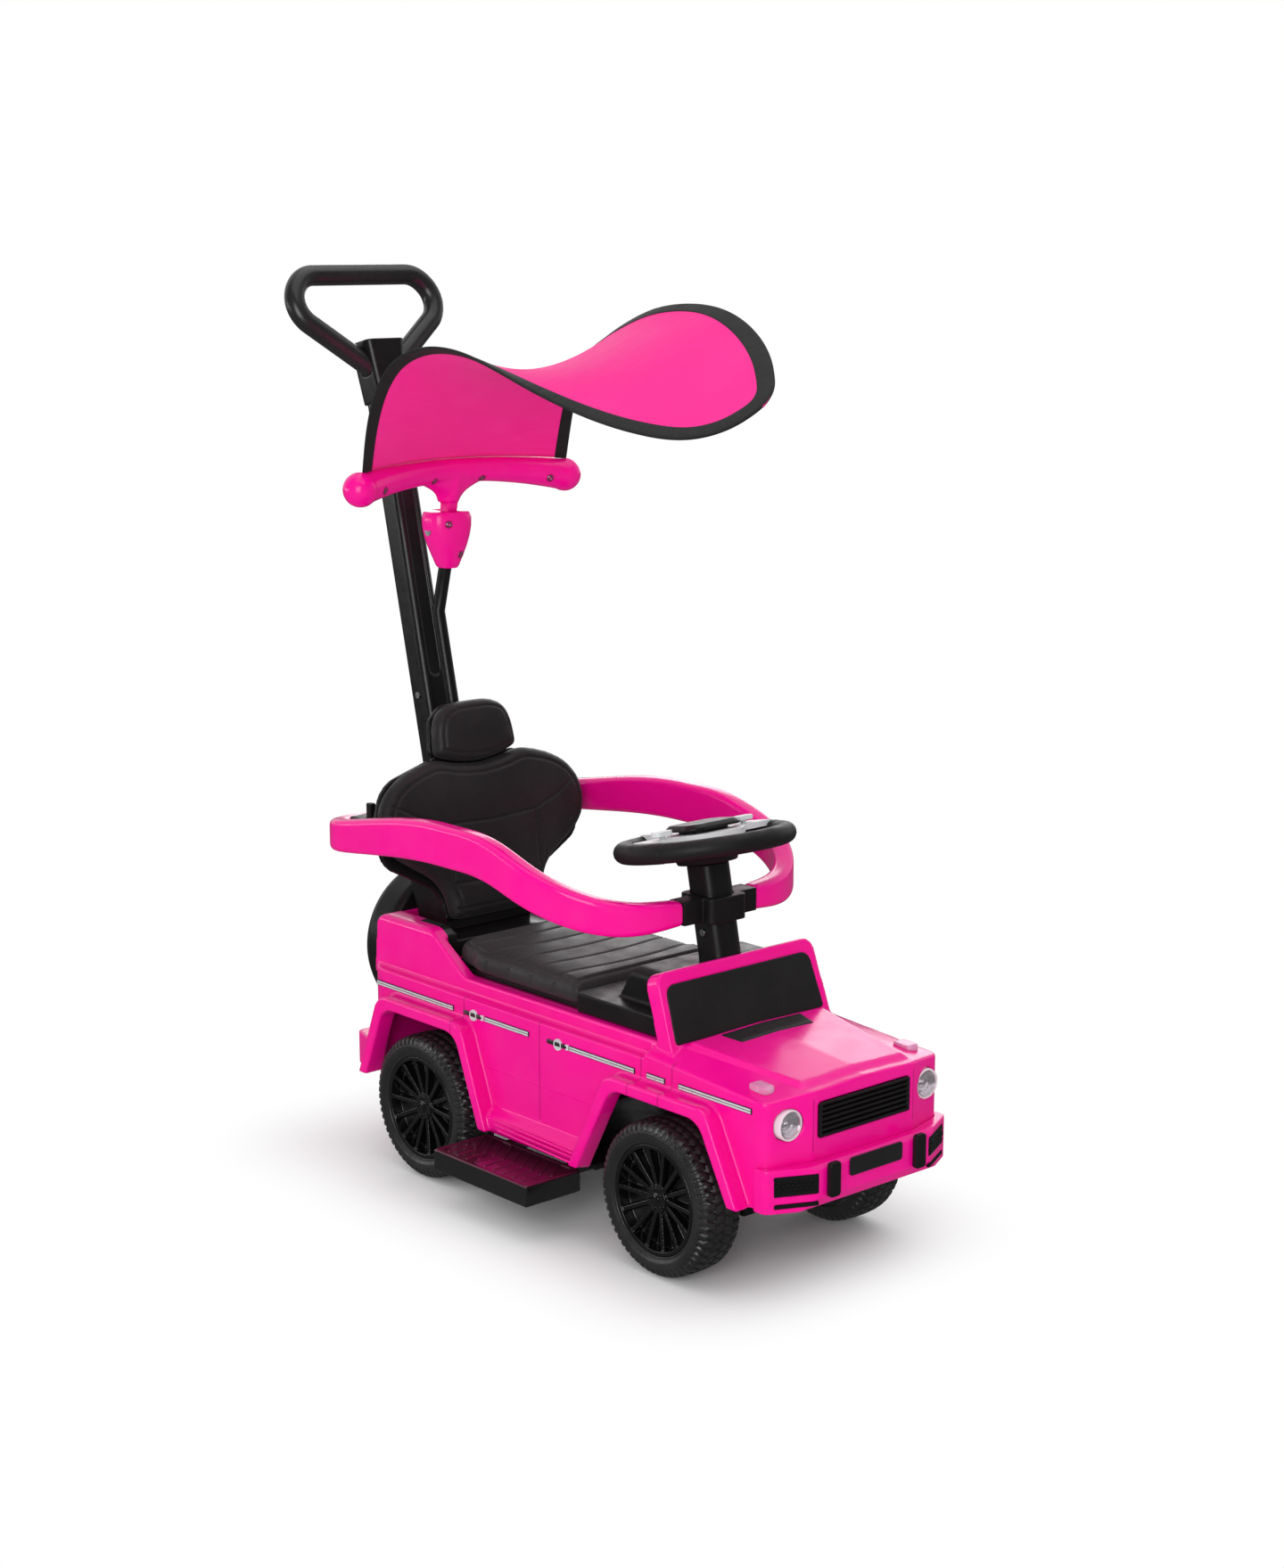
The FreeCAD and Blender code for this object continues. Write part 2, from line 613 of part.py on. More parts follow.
def screen_form():
    origin = Vector(SCREEN_X, 0, SCREEN_Z)
    foot_half = SCREEN_HALF_FOOT
    points = [(-foot_half, -SCREEN_ROOT), (foot_half, -SCREEN_ROOT), (SCREEN_HALF_TOP, SCREEN_H, 14),
              (-SCREEN_HALF_TOP, SCREEN_H, 14)]
    return tilted_prism(points, origin, SIDEWAYS, SCREEN_UP, SCREEN_FRONT * -SCREEN_THICK)


def panel_form(gap):
    """Dark panel let into the windscreen frame."""
    origin = Vector(SCREEN_X, 0, SCREEN_Z)
    foot = SCREEN_HALF_FOOT - PANEL_BORDER_SIDE - gap
    top = SCREEN_HALF_TOP - PANEL_BORDER_SIDE - gap
    points = [(-foot, PANEL_FOOT + gap, 4), (foot, PANEL_FOOT + gap, 4),
              (top, SCREEN_H - PANEL_BORDER_TOP - gap, 12), (-top, SCREEN_H - PANEL_BORDER_TOP - gap, 12)]
    return tilted_prism(points, origin, SIDEWAYS, SCREEN_UP, SCREEN_FRONT * -PANEL_DEPTH)


def flares():
    """Arch flares and sills standing out past both sides."""
    pieces = []
    root = BODY_HALF - WALL
    for axle_x, half_foot in ((FRONT_AXLE_X, ARCH_HALF_FRONT), (REAR_AXLE_X, ARCH_HALF_REAR)):
        pieces.append(arch_prism(axle_x, half_foot, FLARE_BAND, ARCH_FOOT_Z, root, FLARE_HALF))
    sill_rear = REAR_AXLE_X + ARCH_HALF_REAR + 4
    sill_front = FRONT_AXLE_X - ARCH_HALF_FRONT - 4
    out = BODY_HALF + SILL_OUT
    wire = [(root, SILL_Z), (out - 6, SILL_Z), (out, SILL_Z + 8, 3), (out, SILL_Z + SILL_H - 6, 4),
            (BODY_HALF, SILL_Z + SILL_H + 3), (root, SILL_Z + SILL_H + 3)]
    pieces.append(front_prism(wire, sill_rear, sill_front))
    left = joined(pieces)
    return [left, mirrored(left)]


def arch_cuts():
    cuts = [block(FRONT_AXLE_X, FRONT_X, -FLARE_HALF - 1, FLARE_HALF + 1, 0, BUMPER_LOW_Z),
            block(REAR_X - 10, REAR_AXLE_X, -FLARE_HALF - 1, FLARE_HALF + 1, 0, REAR_BUMPER_LOW_Z)]
    for axle_x, half_foot in ((FRONT_AXLE_X, ARCH_HALF_FRONT), (REAR_AXLE_X, ARCH_HALF_REAR)):
        left = arch_prism(axle_x, half_foot, 0, SILL_Z - 60, LINER_HALF, FLARE_HALF + 60)
        cuts.extend([left, mirrored(left)])
    return cuts


def pole_solid(gap):
    """Outer form of the push pole, set out by gap."""
    points = oblong(POLE_D / 2 + gap, POLE_W / 2 + gap, POLE_R)
    return tilted_prism(points, POLE_FOOT - POLE_AXIS * POLE_DOWN, POLE_FRONT, SIDEWAYS,
                        POLE_AXIS * (POLE_DOWN + POLE_END))


def socket_form(gap):
    points = oblong(POLE_D / 2 + SOCKET_WALL + gap, POLE_W / 2 + SOCKET_WALL + gap, POLE_R)
    return tilted_prism(points, POLE_FOOT - POLE_AXIS * (POLE_DOWN + SOCKET_WALL), POLE_FRONT, SIDEWAYS,
                        POLE_AXIS * (POLE_DOWN + SOCKET_WALL * 4))


def column_point(z):
    return SHAFT_FOOT + COLUMN_AXIS * ((z - SHAFT_FOOT.z) / math.cos(TILT))


def column_solid(gap):
    points = oblong(COLUMN_W / 2 + gap, COLUMN_W / 2 + gap, COLUMN_R)
    foot = column_point(COLUMN_FOOT_Z)
    return tilted_prism(points, foot, COLUMN_FRONT, SIDEWAYS, column_point(COLUMN_TOP_Z) - foot)


def lamp_axis_start():
    slope = (FRONT_X - FRONT_SIDE_X) / (BODY_HALF - FRONT_FLAT)
    front = FRONT_X - slope * (LAMP_Y - FRONT_FLAT)
    return Vector(front + LAMP_OUT - LAMP_DEPTH, LAMP_Y, LAMP_Z)


def body_shell():
    tub = tub_form(0)
    outer = joined([tub, rim_form(), screen_form()] + flares())
    deck_under = block(SEAT_REAR_X, SCREEN_X - 60, -POCKET_HALF + WALL, POCKET_HALF - WALL, BELT_Z - 20,
                       POCKET_Z - WALL)
    tail_room = block(REAR_X + WALL + 6, SEAT_REAR_X - 8, -RIM_HALF + WALL * 2, RIM_HALF - WALL * 2,
                      BELT_Z - 20, DECK_WELL_Z - WALL)
    pocket = block(SEAT_REAR_X - 1, SCREEN_X, -POCKET_HALF, POCKET_HALF, POCKET_Z, REAR_DECK_Z + 60)
    pocket = pocket.cut(screen_form())
    deck_well = block(REAR_X + TAIL_LIP, SEAT_REAR_X, -DECK_WELL_HALF, DECK_WELL_HALF, DECK_WELL_Z,
                      REAR_DECK_Z + 1)
    storage = block(BIN_REAR_X, BIN_FRONT_X, -BIN_HALF, BIN_HALF, POCKET_Z - 40, POCKET_Z + 1)
    shaft_way = rod(BUSH_R + 3, column_point(SUB_TOP_Z), column_point(COLUMN_FOOT_Z + 6))
    grille_hole = block(FRONT_X - 30, FRONT_X + 10, -GRILLE_HALF, GRILLE_HALF, GRILLE_Z - GRILLE_H / 2,
                        GRILLE_Z + GRILLE_H / 2)
    lamp_start = lamp_axis_start()
    lamp_hole = rod(LAMP_R + FIT_GAP, lamp_start - FORWARD * 10, lamp_start + FORWARD * 60)
    cuts = [tub_form(WALL), deck_under, tail_room, pocket, storage, shaft_way, socket_form(FIT_GAP),
            panel_form(0), grille_hole, lamp_hole, mirrored(lamp_hole), column_solid(FIT_GAP),
            deck_well] + arch_cuts()
    return outer.cut(cuts).removeSplitter()


def bumper_plan(x_back, trim=0.0):
    half = BUMPER_HALF - trim
    return [(x_back, -half), (BUMPER_CORNER_X - trim, -half, 10), (BUMPER_X - trim, -BUMPER_HALF_FRONT, 14),
            (BUMPER_X - trim, BUMPER_HALF_FRONT, 14), (BUMPER_CORNER_X - trim, half, 10), (x_back, half)]


def bumper_inserts():
    """Mesh panels and lower slots that fill shallow pockets in the front bumper."""
    back = BUMPER_CORNER_X - BUMPER_REACH
    skin = plan_prism(bumper_plan(back), BUMPER_LOW_Z, BUMPER_TOP_Z)
    skin = skin.cut(plan_prism(bumper_plan(back, INSERT_DEPTH), BUMPER_LOW_Z, BUMPER_TOP_Z))
    low = INSERT_Z - INSERT_H / 2
    mesh = block(back, BUMPER_X + 1, INSERT_IN_Y, INSERT_OUT_Y, low, low + INSERT_H)
    slot = block(back, BUMPER_X + 1, INSERT_IN_Y, INSERT_OUT_Y, SLOT_Z - SLOT_H / 2, SLOT_Z + SLOT_H / 2)
    left = [skin.common(mesh), skin.common(slot)]
    return Part.makeCompound(left + [mirrored(piece) for piece in left])


def front_bumper(body_cut):
    back = BUMPER_CORNER_X - BUMPER_REACH
    form = plan_prism(bumper_plan(back), BUMPER_LOW_Z, BUMPER_TOP_Z)
    side = [(back, BUMPER_LOW_Z), (back, BUMPER_TOP_Z), (BUMPER_X - 6, BUMPER_TOP_Z, 4),
            (BUMPER_X, BUMPER_TOP_Z - 5, 3), (BUMPER_X, BUMPER_LOW_Z + 12, 3),
            (BUMPER_X - 8, BUMPER_LOW_Z, 4)]
    form = form.common(side_prism(side, -BUMPER_HALF, BUMPER_HALF))
    return form.cut([body_cut] + flares() + bumper_inserts().Solids)


def rear_bumper(body_cut):
    half = REAR_BUMPER_HALF
    points = [(REAR_BUMPER_X, -half + 12, 10), (REAR_X + 14, -half, 6), (REAR_X + 14, half, 6),
              (REAR_BUMPER_X, half - 12, 10)]
    form = plan_prism(points, REAR_BUMPER_LOW_Z, REAR_BUMPER_TOP_Z)
    spare_room = rod(SPARE_R + FIT_GAP, Vector(REAR_X, 0, SPARE_Z), Vector(REAR_X - SPARE_T, 0, SPARE_Z))
    return form.cut([body_cut, spare_room] + flares() + arch_cuts())


def body_filled():
    """Body without its hollow, used to trim what sits against it."""
    return joined([tub_form(0), rim_form(), screen_form()])


def grille():
    half = GRILLE_HALF - FIT_GAP
    low = GRILLE_Z - GRILLE_H / 2 + FIT_GAP
    high = GRILLE_Z + GRILLE_H / 2 - FIT_GAP
    border = 3.0
    back = FRONT_X + 2 - GRILLE_DEPTH
    frame = block(back, FRONT_X + 2, -half, half, low, high)
    frame = frame.cut(block(back + 2, FRONT_X + 3, -half + border, half - border, low + border,
                            high - border))
    pitch = (high - low - border) / (GRILLE_BARS + 1)
    pieces = [frame]
    for index in range(GRILLE_BARS):
        middle = low + border / 2 + pitch * (index + 1)
        pieces.append(block(back + 1, FRONT_X + 1, -half + 1, half - 1, middle - 1.4, middle + 1.4))
    return joined(pieces)


def headlight_bowl():
    start = lamp_axis_start()
    bowl = rod(LAMP_R, start, start + FORWARD * LAMP_DEPTH)
    return bowl.cut(rod(LAMP_R - LAMP_RIM, start + FORWARD * LAMP_RIM, start + FORWARD * (LAMP_DEPTH + 1)))


def headlight_lens():
    """Domed lens resting in the rim of its bowl."""
    start = lamp_axis_start()
    radius = LAMP_R - LAMP_RIM - FIT_GAP
    dome_r = radius * 2.2
    back = start + FORWARD * (LAMP_DEPTH - 3)
    disc = rod(radius, back, back + FORWARD * 8)
    dome_centre = back + FORWARD * (3 + 2.5 - dome_r)
    return disc.common(Part.makeSphere(dome_r, dome_centre))


def turn_lamp(body_cut):
    """Small domed repeater on the front wing."""
    half_l = TURN_LAMP_L / 2
    half_w = TURN_LAMP_W / 2
    points = [(TURN_LAMP_X - half_l, TURN_LAMP_Y - half_w), (TURN_LAMP_X + half_l, TURN_LAMP_Y - half_w),
              (TURN_LAMP_X + half_l, TURN_LAMP_Y + half_w), (TURN_LAMP_X - half_l, TURN_LAMP_Y + half_w)]
    top = BONNET_EDGE_FRONT_Z + TURN_LAMP_H + 2
    side = [(TURN_LAMP_X - half_l, top - 30), (TURN_LAMP_X - half_l, top, 6),
            (TURN_LAMP_X + half_l, top - 2, 6), (TURN_LAMP_X + half_l, top - 30)]
    lamp = plan_prism(points, top - 20, top, half_w - 0.5)
    lamp = lamp.common(side_prism(side, TURN_LAMP_Y - half_w, TURN_LAMP_Y + half_w))
    return lamp.cut(body_cut)


def bonnet_vent():
    low = block(VENT_X - VENT_L / 2, VENT_X + VENT_L / 2, -VENT_HALF, VENT_HALF, BONNET_FRONT_Z,
                BONNET_REAR_Z + 30)
    bonnet = bonnet_form(0)
    raised = bonnet.copy()
    raised.translate(Vector(0, 0, VENT_T))
    return raised.common(low).cut(bonnet)


def side_trim():
    strips = []
    for x0, x1 in TRIM_RUNS:
        points = oblong((x1 - x0) / 2, TRIM_H / 2, 1.5)
        points = [((x0 + x1) / 2 + p[0], TRIM_Z + p[1], p[2]) for p in points]
        strip = side_prism(points, BODY_HALF, BODY_HALF + TRIM_T)
        strips.extend([strip, mirrored(strip)])
    return Part.makeCompound(strips + door_handles())


def door_handles():
    """Four raised door grips, as solids of the trim group."""
    grips = []
    for x in HANDLE_XS:
        points = [(x + p[0], HANDLE_Z + p[1], p[2]) for p in oblong(HANDLE_L / 2, HANDLE_H / 2, 4)]
        grip = side_prism(points, BODY_HALF, BODY_HALF + TRIM_T * 2)
        grips.extend([grip, mirrored(grip)])
    return grips


def bumper_guards():
    points = oblong(GUARD_W / 2, GUARD_H / 2, 4)
    left = front_prism([(GUARD_Y + p[0], GUARD_Z + p[1], p[2]) for p in points], BUMPER_X, BUMPER_X + GUARD_T)
    return both_sides(left)


def number_plate():
    points = oblong(PLATE_HALF, PLATE_H / 2, 3)
    return front_prism([(p[0], PLATE_Z + p[1], p[2]) for p in points], BUMPER_X, BUMPER_X + PLATE_T)


# Chassis and steering gear

def sleeve_cut(x, gap):
    half = RUNNER_W / 2 + gap
    return block(x - half, x + half, SLEEVE_IN_Y - 1, SLEEVE_OUT_Y + 1, FOOT_TOP_Z - RUNNER_H - gap,
                 FOOT_TOP_Z + gap)


def chassis_base():
    """Floor, rear axle ribs, front subframe with kingpin lugs and footrest sleeves."""
    top = FLOOR_Z + FLOOR_T
    tail = [(REAR_X + WALL + 2, -TAIL_HALF), (FLOOR_REAR_X, -TAIL_HALF), (FLOOR_REAR_X, -FLOOR_HALF),
            (FLOOR_FRONT_X, -FLOOR_HALF), (FLOOR_FRONT_X, -WELL_HALF), (SUB_REAR_X + 2, -WELL_HALF)]
    points = tail + [(x, -y) for x, y in reversed(tail)]
    pieces = [plan_prism(points, FLOOR_Z, top)]
    for side in (1, -1):
        rib_out = side * TAIL_HALF
        rib_in = side * (TAIL_HALF - RIB_T)
        low, high = min(rib_in, rib_out), max(rib_in, rib_out)
        pieces.append(block(REAR_AXLE_X - RIB_HALF_L, REAR_AXLE_X + RIB_HALF_L, low, high, FLOOR_Z - 14,
                            RIB_TOP_Z))
        boss_end = side * (WHEEL_Y - TYRE_W / 2 + 1 - END_GAP)
        pieces.append(rod(AXLE_R + 5, Vector(REAR_AXLE_X, rib_in, AXLE_Z),
                          Vector(REAR_AXLE_X, boss_end, AXLE_Z)))
        for x in RUNNER_XS:
            half = RUNNER_W / 2 + SLIDE_GAP + SLEEVE_WALL
            at = x - side * RUNNER_STAGGER
            low = FOOT_TOP_Z - RUNNER_H - SLIDE_GAP - SLEEVE_WALL
            y0, y1 = sorted((side * SLEEVE_IN_Y, side * SLEEVE_OUT_Y))
            pieces.append(block(at - half, at + half, y0, y1, low, top))
    upper = [(SUB_REAR_X, -WELL_HALF), (SUB_FRONT_X, -WELL_HALF), (SUB_FRONT_X, WELL_HALF),
             (SUB_REAR_X, WELL_HALF)]
    pieces.append(plan_prism(upper, SUB_TOP_Z, SUB_TOP_Z + SUB_T))
    web_x = SUB_LOW_FRONT_X - SUB_T
    lower = [(SUB_REAR_X, -WELL_HALF), (SUB_LOW_FRONT_X, -WELL_HALF), (SUB_LOW_FRONT_X, WELL_HALF),
             (SUB_REAR_X, WELL_HALF)]
    pieces.append(plan_prism(lower, SUB_LOW_Z - SUB_T, SUB_LOW_Z))
    pieces.append(block(SUB_REAR_X, SUB_REAR_X + SUB_T, -WELL_HALF, WELL_HALF, SUB_LOW_Z - SUB_T,
                        SUB_TOP_Z + SUB_T))
    pieces.append(block(web_x, SUB_LOW_FRONT_X, -WELL_HALF, WELL_HALF, SUB_LOW_Z, SUB_TOP_Z))
    pieces.append(block(SUB_FRONT_X - SUB_T, SUB_FRONT_X, -WELL_HALF, WELL_HALF, SUB_TOP_Z, NOSE_Z + 40))
    lug_end = KINGPIN_Y + LUG_HALF_L
    for z0 in (SUB_TOP_Z, SUB_LOW_Z - SUB_T):
        pieces.append(block(FRONT_AXLE_X - LUG_HALF_L, FRONT_AXLE_X + LUG_HALF_L, -lug_end, lug_end, z0,
                            z0 + SUB_T))
    frame = joined(pieces)
    cuts = [rod(AXLE_R + FIT_GAP, Vector(REAR_AXLE_X, -BODY_HALF, AXLE_Z),
                Vector(REAR_AXLE_X, BODY_HALF, AXLE_Z))]
    for side in (1, -1):
        pin = Vector(FRONT_AXLE_X, side * KINGPIN_Y, SUB_LOW_Z - SUB_T - 5)
        cuts.append(rod(KINGPIN_R + FIT_GAP, pin, pin + UPRIGHT * 90))
        for x in RUNNER_XS:
            cut = sleeve_cut(x - side * RUNNER_STAGGER, SLIDE_GAP)
            cuts.append(for_side(cut, side))
    boss = column_point(SUB_TOP_Z + SUB_T / 2)
    frame = frame.fuse(rod(BUSH_R, boss, boss + COLUMN_AXIS * BUSH_L))
    cuts.append(rod(SHAFT_R + RUN_GAP, boss - COLUMN_AXIS * 20, boss + COLUMN_AXIS * 40))
    return frame.cut(cuts).removeSplitter()


def rear_axle():
    end = WHEEL_Y + STUB_IN - 1
    return rod(AXLE_R, Vector(REAR_AXLE_X, -end, AXLE_Z), Vector(REAR_AXLE_X, end, AXLE_Z))


def kingpins():
    start = Vector(FRONT_AXLE_X, KINGPIN_Y, SUB_LOW_Z - SUB_T - 1)
    pin = rod(KINGPIN_R, start, Vector(FRONT_AXLE_X, KINGPIN_Y, SUB_TOP_Z + SUB_T))
    head = Vector(FRONT_AXLE_X, KINGPIN_Y, SUB_TOP_Z + SUB_T)
    return both_sides(pin.fuse(rod(KINGPIN_R + 2, head, head + UPRIGHT * 2.5)))


def knuckle(side):
    """Pivot block with stub axle, steering arm and tie rod pin, drawn on the left."""
    low = SUB_LOW_Z + END_GAP
    high = SUB_TOP_Z - END_GAP
    pivot = Vector(FRONT_AXLE_X, KINGPIN_Y, low)
    post = rod(KNUCKLE_R, pivot, Vector(FRONT_AXLE_X, KINGPIN_Y, high))
    shoulder = WHEEL_Y - TYRE_W / 2 + 1 - END_GAP
    stub = rod(AXLE_R, Vector(FRONT_AXLE_X, KINGPIN_Y, AXLE_Z),
               Vector(FRONT_AXLE_X, WHEEL_Y + STUB_IN - 1, AXLE_Z))
    collar = rod(AXLE_R + 3, Vector(FRONT_AXLE_X, KINGPIN_Y, AXLE_Z), Vector(FRONT_AXLE_X, shoulder, AXLE_Z))
    arm_top = TIE_Z - END_GAP
    arm = block(TIE_X - TIE_W / 2, FRONT_AXLE_X, KINGPIN_Y - TIE_W / 2, KINGPIN_Y + TIE_W / 2,
                arm_top - ARM_T, arm_top)
    pin_start = Vector(TIE_X, KINGPIN_Y, arm_top - ARM_T)
    pin = rod(TIE_PIN_R, pin_start, Vector(TIE_X, KINGPIN_Y, TIE_Z + TIE_T + TIE_PIN_HEAD))
    body = joined([post, collar, stub, arm, pin])
    return for_side(body.cut(rod(KINGPIN_R + RUN_GAP, pivot - UPRIGHT * 9, pivot + UPRIGHT * 60)), side)


def tie_rod():
    ends = KINGPIN_Y + TIE_W / 2
    bar = block(TIE_X - TIE_W / 2, TIE_X + TIE_W / 2, -ends, ends, TIE_Z, TIE_Z + TIE_T)
    plate = block(TIE_X - TIE_W, TIE_X + TIE_W, -TIE_W, TIE_W, TIE_Z, TIE_Z + TIE_T)
    cuts = []
    for side in (1, -1):
        hole = Vector(TIE_X, side * KINGPIN_Y, TIE_Z - 5)
        cuts.append(rod(TIE_PIN_R + RUN_GAP, hole, hole + UPRIGHT * 20))
    half = TIE_PIN_R + CRANK_SLOT_GAP
    cuts.append(block(TIE_X - CRANK_SLOT_L / 2, TIE_X + CRANK_SLOT_L / 2, -half, half, TIE_Z - 5,
                      TIE_Z + TIE_T + 5))
    return joined([bar, plate]).cut(cuts)


def steering_shaft():
    """Shaft from the crank to the wheel hub; the crank pin drops into the tie rod slot."""
    low = SHAFT_FOOT + COLUMN_AXIS * CRANK_LIFT
    crank_dir = COLUMN_FRONT * -1
    top = steer_point(spoke_low() - BACK_COVER_T + HUB_SEAT - FIT_GAP)
    shaft = rod(SHAFT_R, low, top)
    web = tilted_prism(oblong(SHAFT_R, SHAFT_R, 2), low, COLUMN_FRONT, SIDEWAYS, COLUMN_AXIS * ARM_T)
    pin_at = low + crank_dir * CRANK
    arm = tilted_prism([(-CRANK, -SHAFT_R), (0, -SHAFT_R), (0, SHAFT_R), (-CRANK, SHAFT_R)], low,
                       COLUMN_FRONT, SIDEWAYS, COLUMN_AXIS * ARM_T)
    eye = rod(SHAFT_R, pin_at, pin_at + COLUMN_AXIS * ARM_T)
    pin = rod(TIE_PIN_R, pin_at - COLUMN_AXIS * (CRANK_LIFT + TIE_T / 2), pin_at + COLUMN_AXIS * ARM_T)
    return joined([shaft, web, arm, eye, pin])


def steering_column():
    foot = column_point(COLUMN_FOOT_Z)
    top = column_point(COLUMN_TOP_Z)
    hollow = rod(BUSH_R, foot - COLUMN_AXIS, top - COLUMN_AXIS * BUSH_L)
    bearing = rod(SHAFT_R + RUN_GAP, foot, top + COLUMN_AXIS)
    return column_solid(0).cut([hollow, bearing])


def dash_console():
    """Black console from the seat to the windscreen, with the raised dash behind the frame."""
    gap = FIT_GAP
    half = POCKET_HALF - gap
    front = SCREEN_X + 4
    lower = plan_prism([(SEAT_FRONT_X + 1, -half, 5), (front, -half), (front, half),
                        (SEAT_FRONT_X + 1, half, 5)], POCKET_Z, CONSOLE_Z)
    dash = side_prism([(DASH_FOOT_X, CONSOLE_Z - 4), (DASH_TOP_X, DASH_Z, 8), (front, DASH_Z, 0),
                       (front, CONSOLE_Z - 4)], -DASH_HALF, DASH_HALF)
    top_form = front_prism([(-DASH_HALF, CONSOLE_Z - 6), (-DASH_HALF, DASH_Z, 12), (DASH_HALF, DASH_Z, 12),
                            (DASH_HALF, CONSOLE_Z - 6)], DASH_FOOT_X - 5, front + 1)
    over = half + SEAT_OVER
    shoulder = plan_prism([(SEAT_FRONT_X + 1, -over, 5), (front, -over), (front, over),
                           (SEAT_FRONT_X + 1, over, 5)], DECK_Z + END_GAP, CONSOLE_Z)
    form = joined([lower, shoulder, dash.common(top_form)])
    lean = tilted_prism([(-BODY_HALF, -80), (BODY_HALF, -80), (BODY_HALF, 200), (-BODY_HALF, 200)],
                        Vector(SCREEN_X, 0, SCREEN_Z) - SCREEN_FRONT * SCREEN_THICK, SIDEWAYS, SCREEN_UP,
                        SCREEN_FRONT * 80)
    tub = tub_form(0).cut(block(SEAT_REAR_X, SCREEN_X, -POCKET_HALF, POCKET_HALF, POCKET_Z, REAR_DECK_Z))
    shaft_way = rod(BUSH_R + 3, column_point(SUB_TOP_Z), column_point(COLUMN_FOOT_Z + 6))
    return form.cut([lean, tub, column_solid(FIT_GAP), shaft_way]).removeSplitter()


# Steering wheel, drawn on the column axis

def steer_point(height):
    """Point on the column axis, height above the middle of the steering wheel rim."""
    return column_point(WHEEL_CENTRE_Z) + COLUMN_AXIS * height


def steering_rim():
    ring = Part.makeTorus(STEER_R - STEER_TUBE_R, STEER_TUBE_R, steer_point(0), COLUMN_AXIS)
    return ring


def spoke_outline(half_width):
    reach = STEER_R - STEER_TUBE_R * 1.2
    return [(-half_width, -reach), (half_width, -reach), (half_width, reach), (-half_width, reach)]


def pad_outline(gap):
    return oblong(PAD_HALF_X + gap, PAD_HALF_Y + gap, 9)


def spoke_low():
    return SPOKE_TOP - SPOKE_PLATE_T


def steering_spokes(rim_solid):
    """Pale spoke plate with openings for the horn pad and the two buttons."""
    low = steer_point(spoke_low())
    way = COLUMN_AXIS * SPOKE_PLATE_T
    hub = rod(STEER_HUB_R, low, low + way)
    across = tilted_prism(spoke_outline(STEER_SPOKE_W / 2), low, COLUMN_FRONT, SIDEWAYS, way)
    down = tilted_prism([(-STEER_R + STEER_TUBE_R, -14), (0, -14), (0, 14), (-STEER_R + STEER_TUBE_R, 14)],
                        low, COLUMN_FRONT, SIDEWAYS, way)
    cuts = [rim_solid, tilted_prism(pad_outline(SLIDE_GAP), low - COLUMN_AXIS, COLUMN_FRONT, SIDEWAYS,
                                    way * 3)]
    for side in (1, -1):
        at = low + SIDEWAYS * (side * BUTTON_Y)
        cuts.append(rod(STEM_R + SLIDE_GAP, at - COLUMN_AXIS, at + COLUMN_AXIS * 20))
    return joined([hub, across, down]).cut(cuts).removeSplitter()


def steering_back_cover():
    """Bowl under the spokes, with a boss on the shaft and a battery box at the rear."""
    high = steer_point(spoke_low())
    low = high - COLUMN_AXIS * BACK_COVER_T
    bowl = Part.makeCone(STEER_HUB_R * 0.72, STEER_HUB_R - 2, BACK_COVER_T, low, COLUMN_AXIS)
    box = tilted_prism([(-STEER_HUB_R - 14, -17), (0, -17), (0, 17), (-STEER_HUB_R - 14, 17)],
                       low + COLUMN_AXIS * 3, COLUMN_FRONT, SIDEWAYS, COLUMN_AXIS * (BACK_COVER_T - 3))
    form = joined([bowl, box])
    room = tilted_prism(pad_outline(SLIDE_GAP), high - COLUMN_AXIS * (BACK_COVER_T - COVER_FLOOR),
                        COLUMN_FRONT, SIDEWAYS, COLUMN_AXIS * BACK_COVER_T)
    return form.cut([room, rod(SHAFT_R + FIT_GAP, low - COLUMN_AXIS * 9, low + COLUMN_AXIS * HUB_SEAT)])


def horn_pad():
    """Pad with a wide cap above the spokes, pressed in by PAD_LIFT, on a stem in the back cover."""
    low = steer_point(spoke_low() - BACK_COVER_T + COVER_FLOOR + PAD_LIFT)
    stem_l = BACK_COVER_T - COVER_FLOOR + SPOKE_PLATE_T
    stem = tilted_prism(pad_outline(0), low, COLUMN_FRONT, SIDEWAYS, COLUMN_AXIS * stem_l)
    cap_low = low + COLUMN_AXIS * stem_l
    crown_low = cap_low + COLUMN_AXIS * (PAD_T - PAD_CROWN)
    cap_points = oblong(PAD_CAP_X, PAD_CAP_Y, PAD_CAP_R)
    cap = tilted_prism(cap_points, cap_low, COLUMN_FRONT, SIDEWAYS, crown_low - cap_low)
    top_points = oblong(PAD_CAP_X - PAD_BEVEL, PAD_CAP_Y - PAD_BEVEL, PAD_CAP_R - PAD_BEVEL)
    wires = [rounded_wire(cap_points, lambda u, v: crown_low + COLUMN_FRONT * u + SIDEWAYS * v),
             rounded_wire(top_points, lambda u, v: cap_low + COLUMN_AXIS * PAD_T + COLUMN_FRONT * u
                          + SIDEWAYS * v)]
    return joined([stem, cap, Part.makeLoft(wires, True, True)])


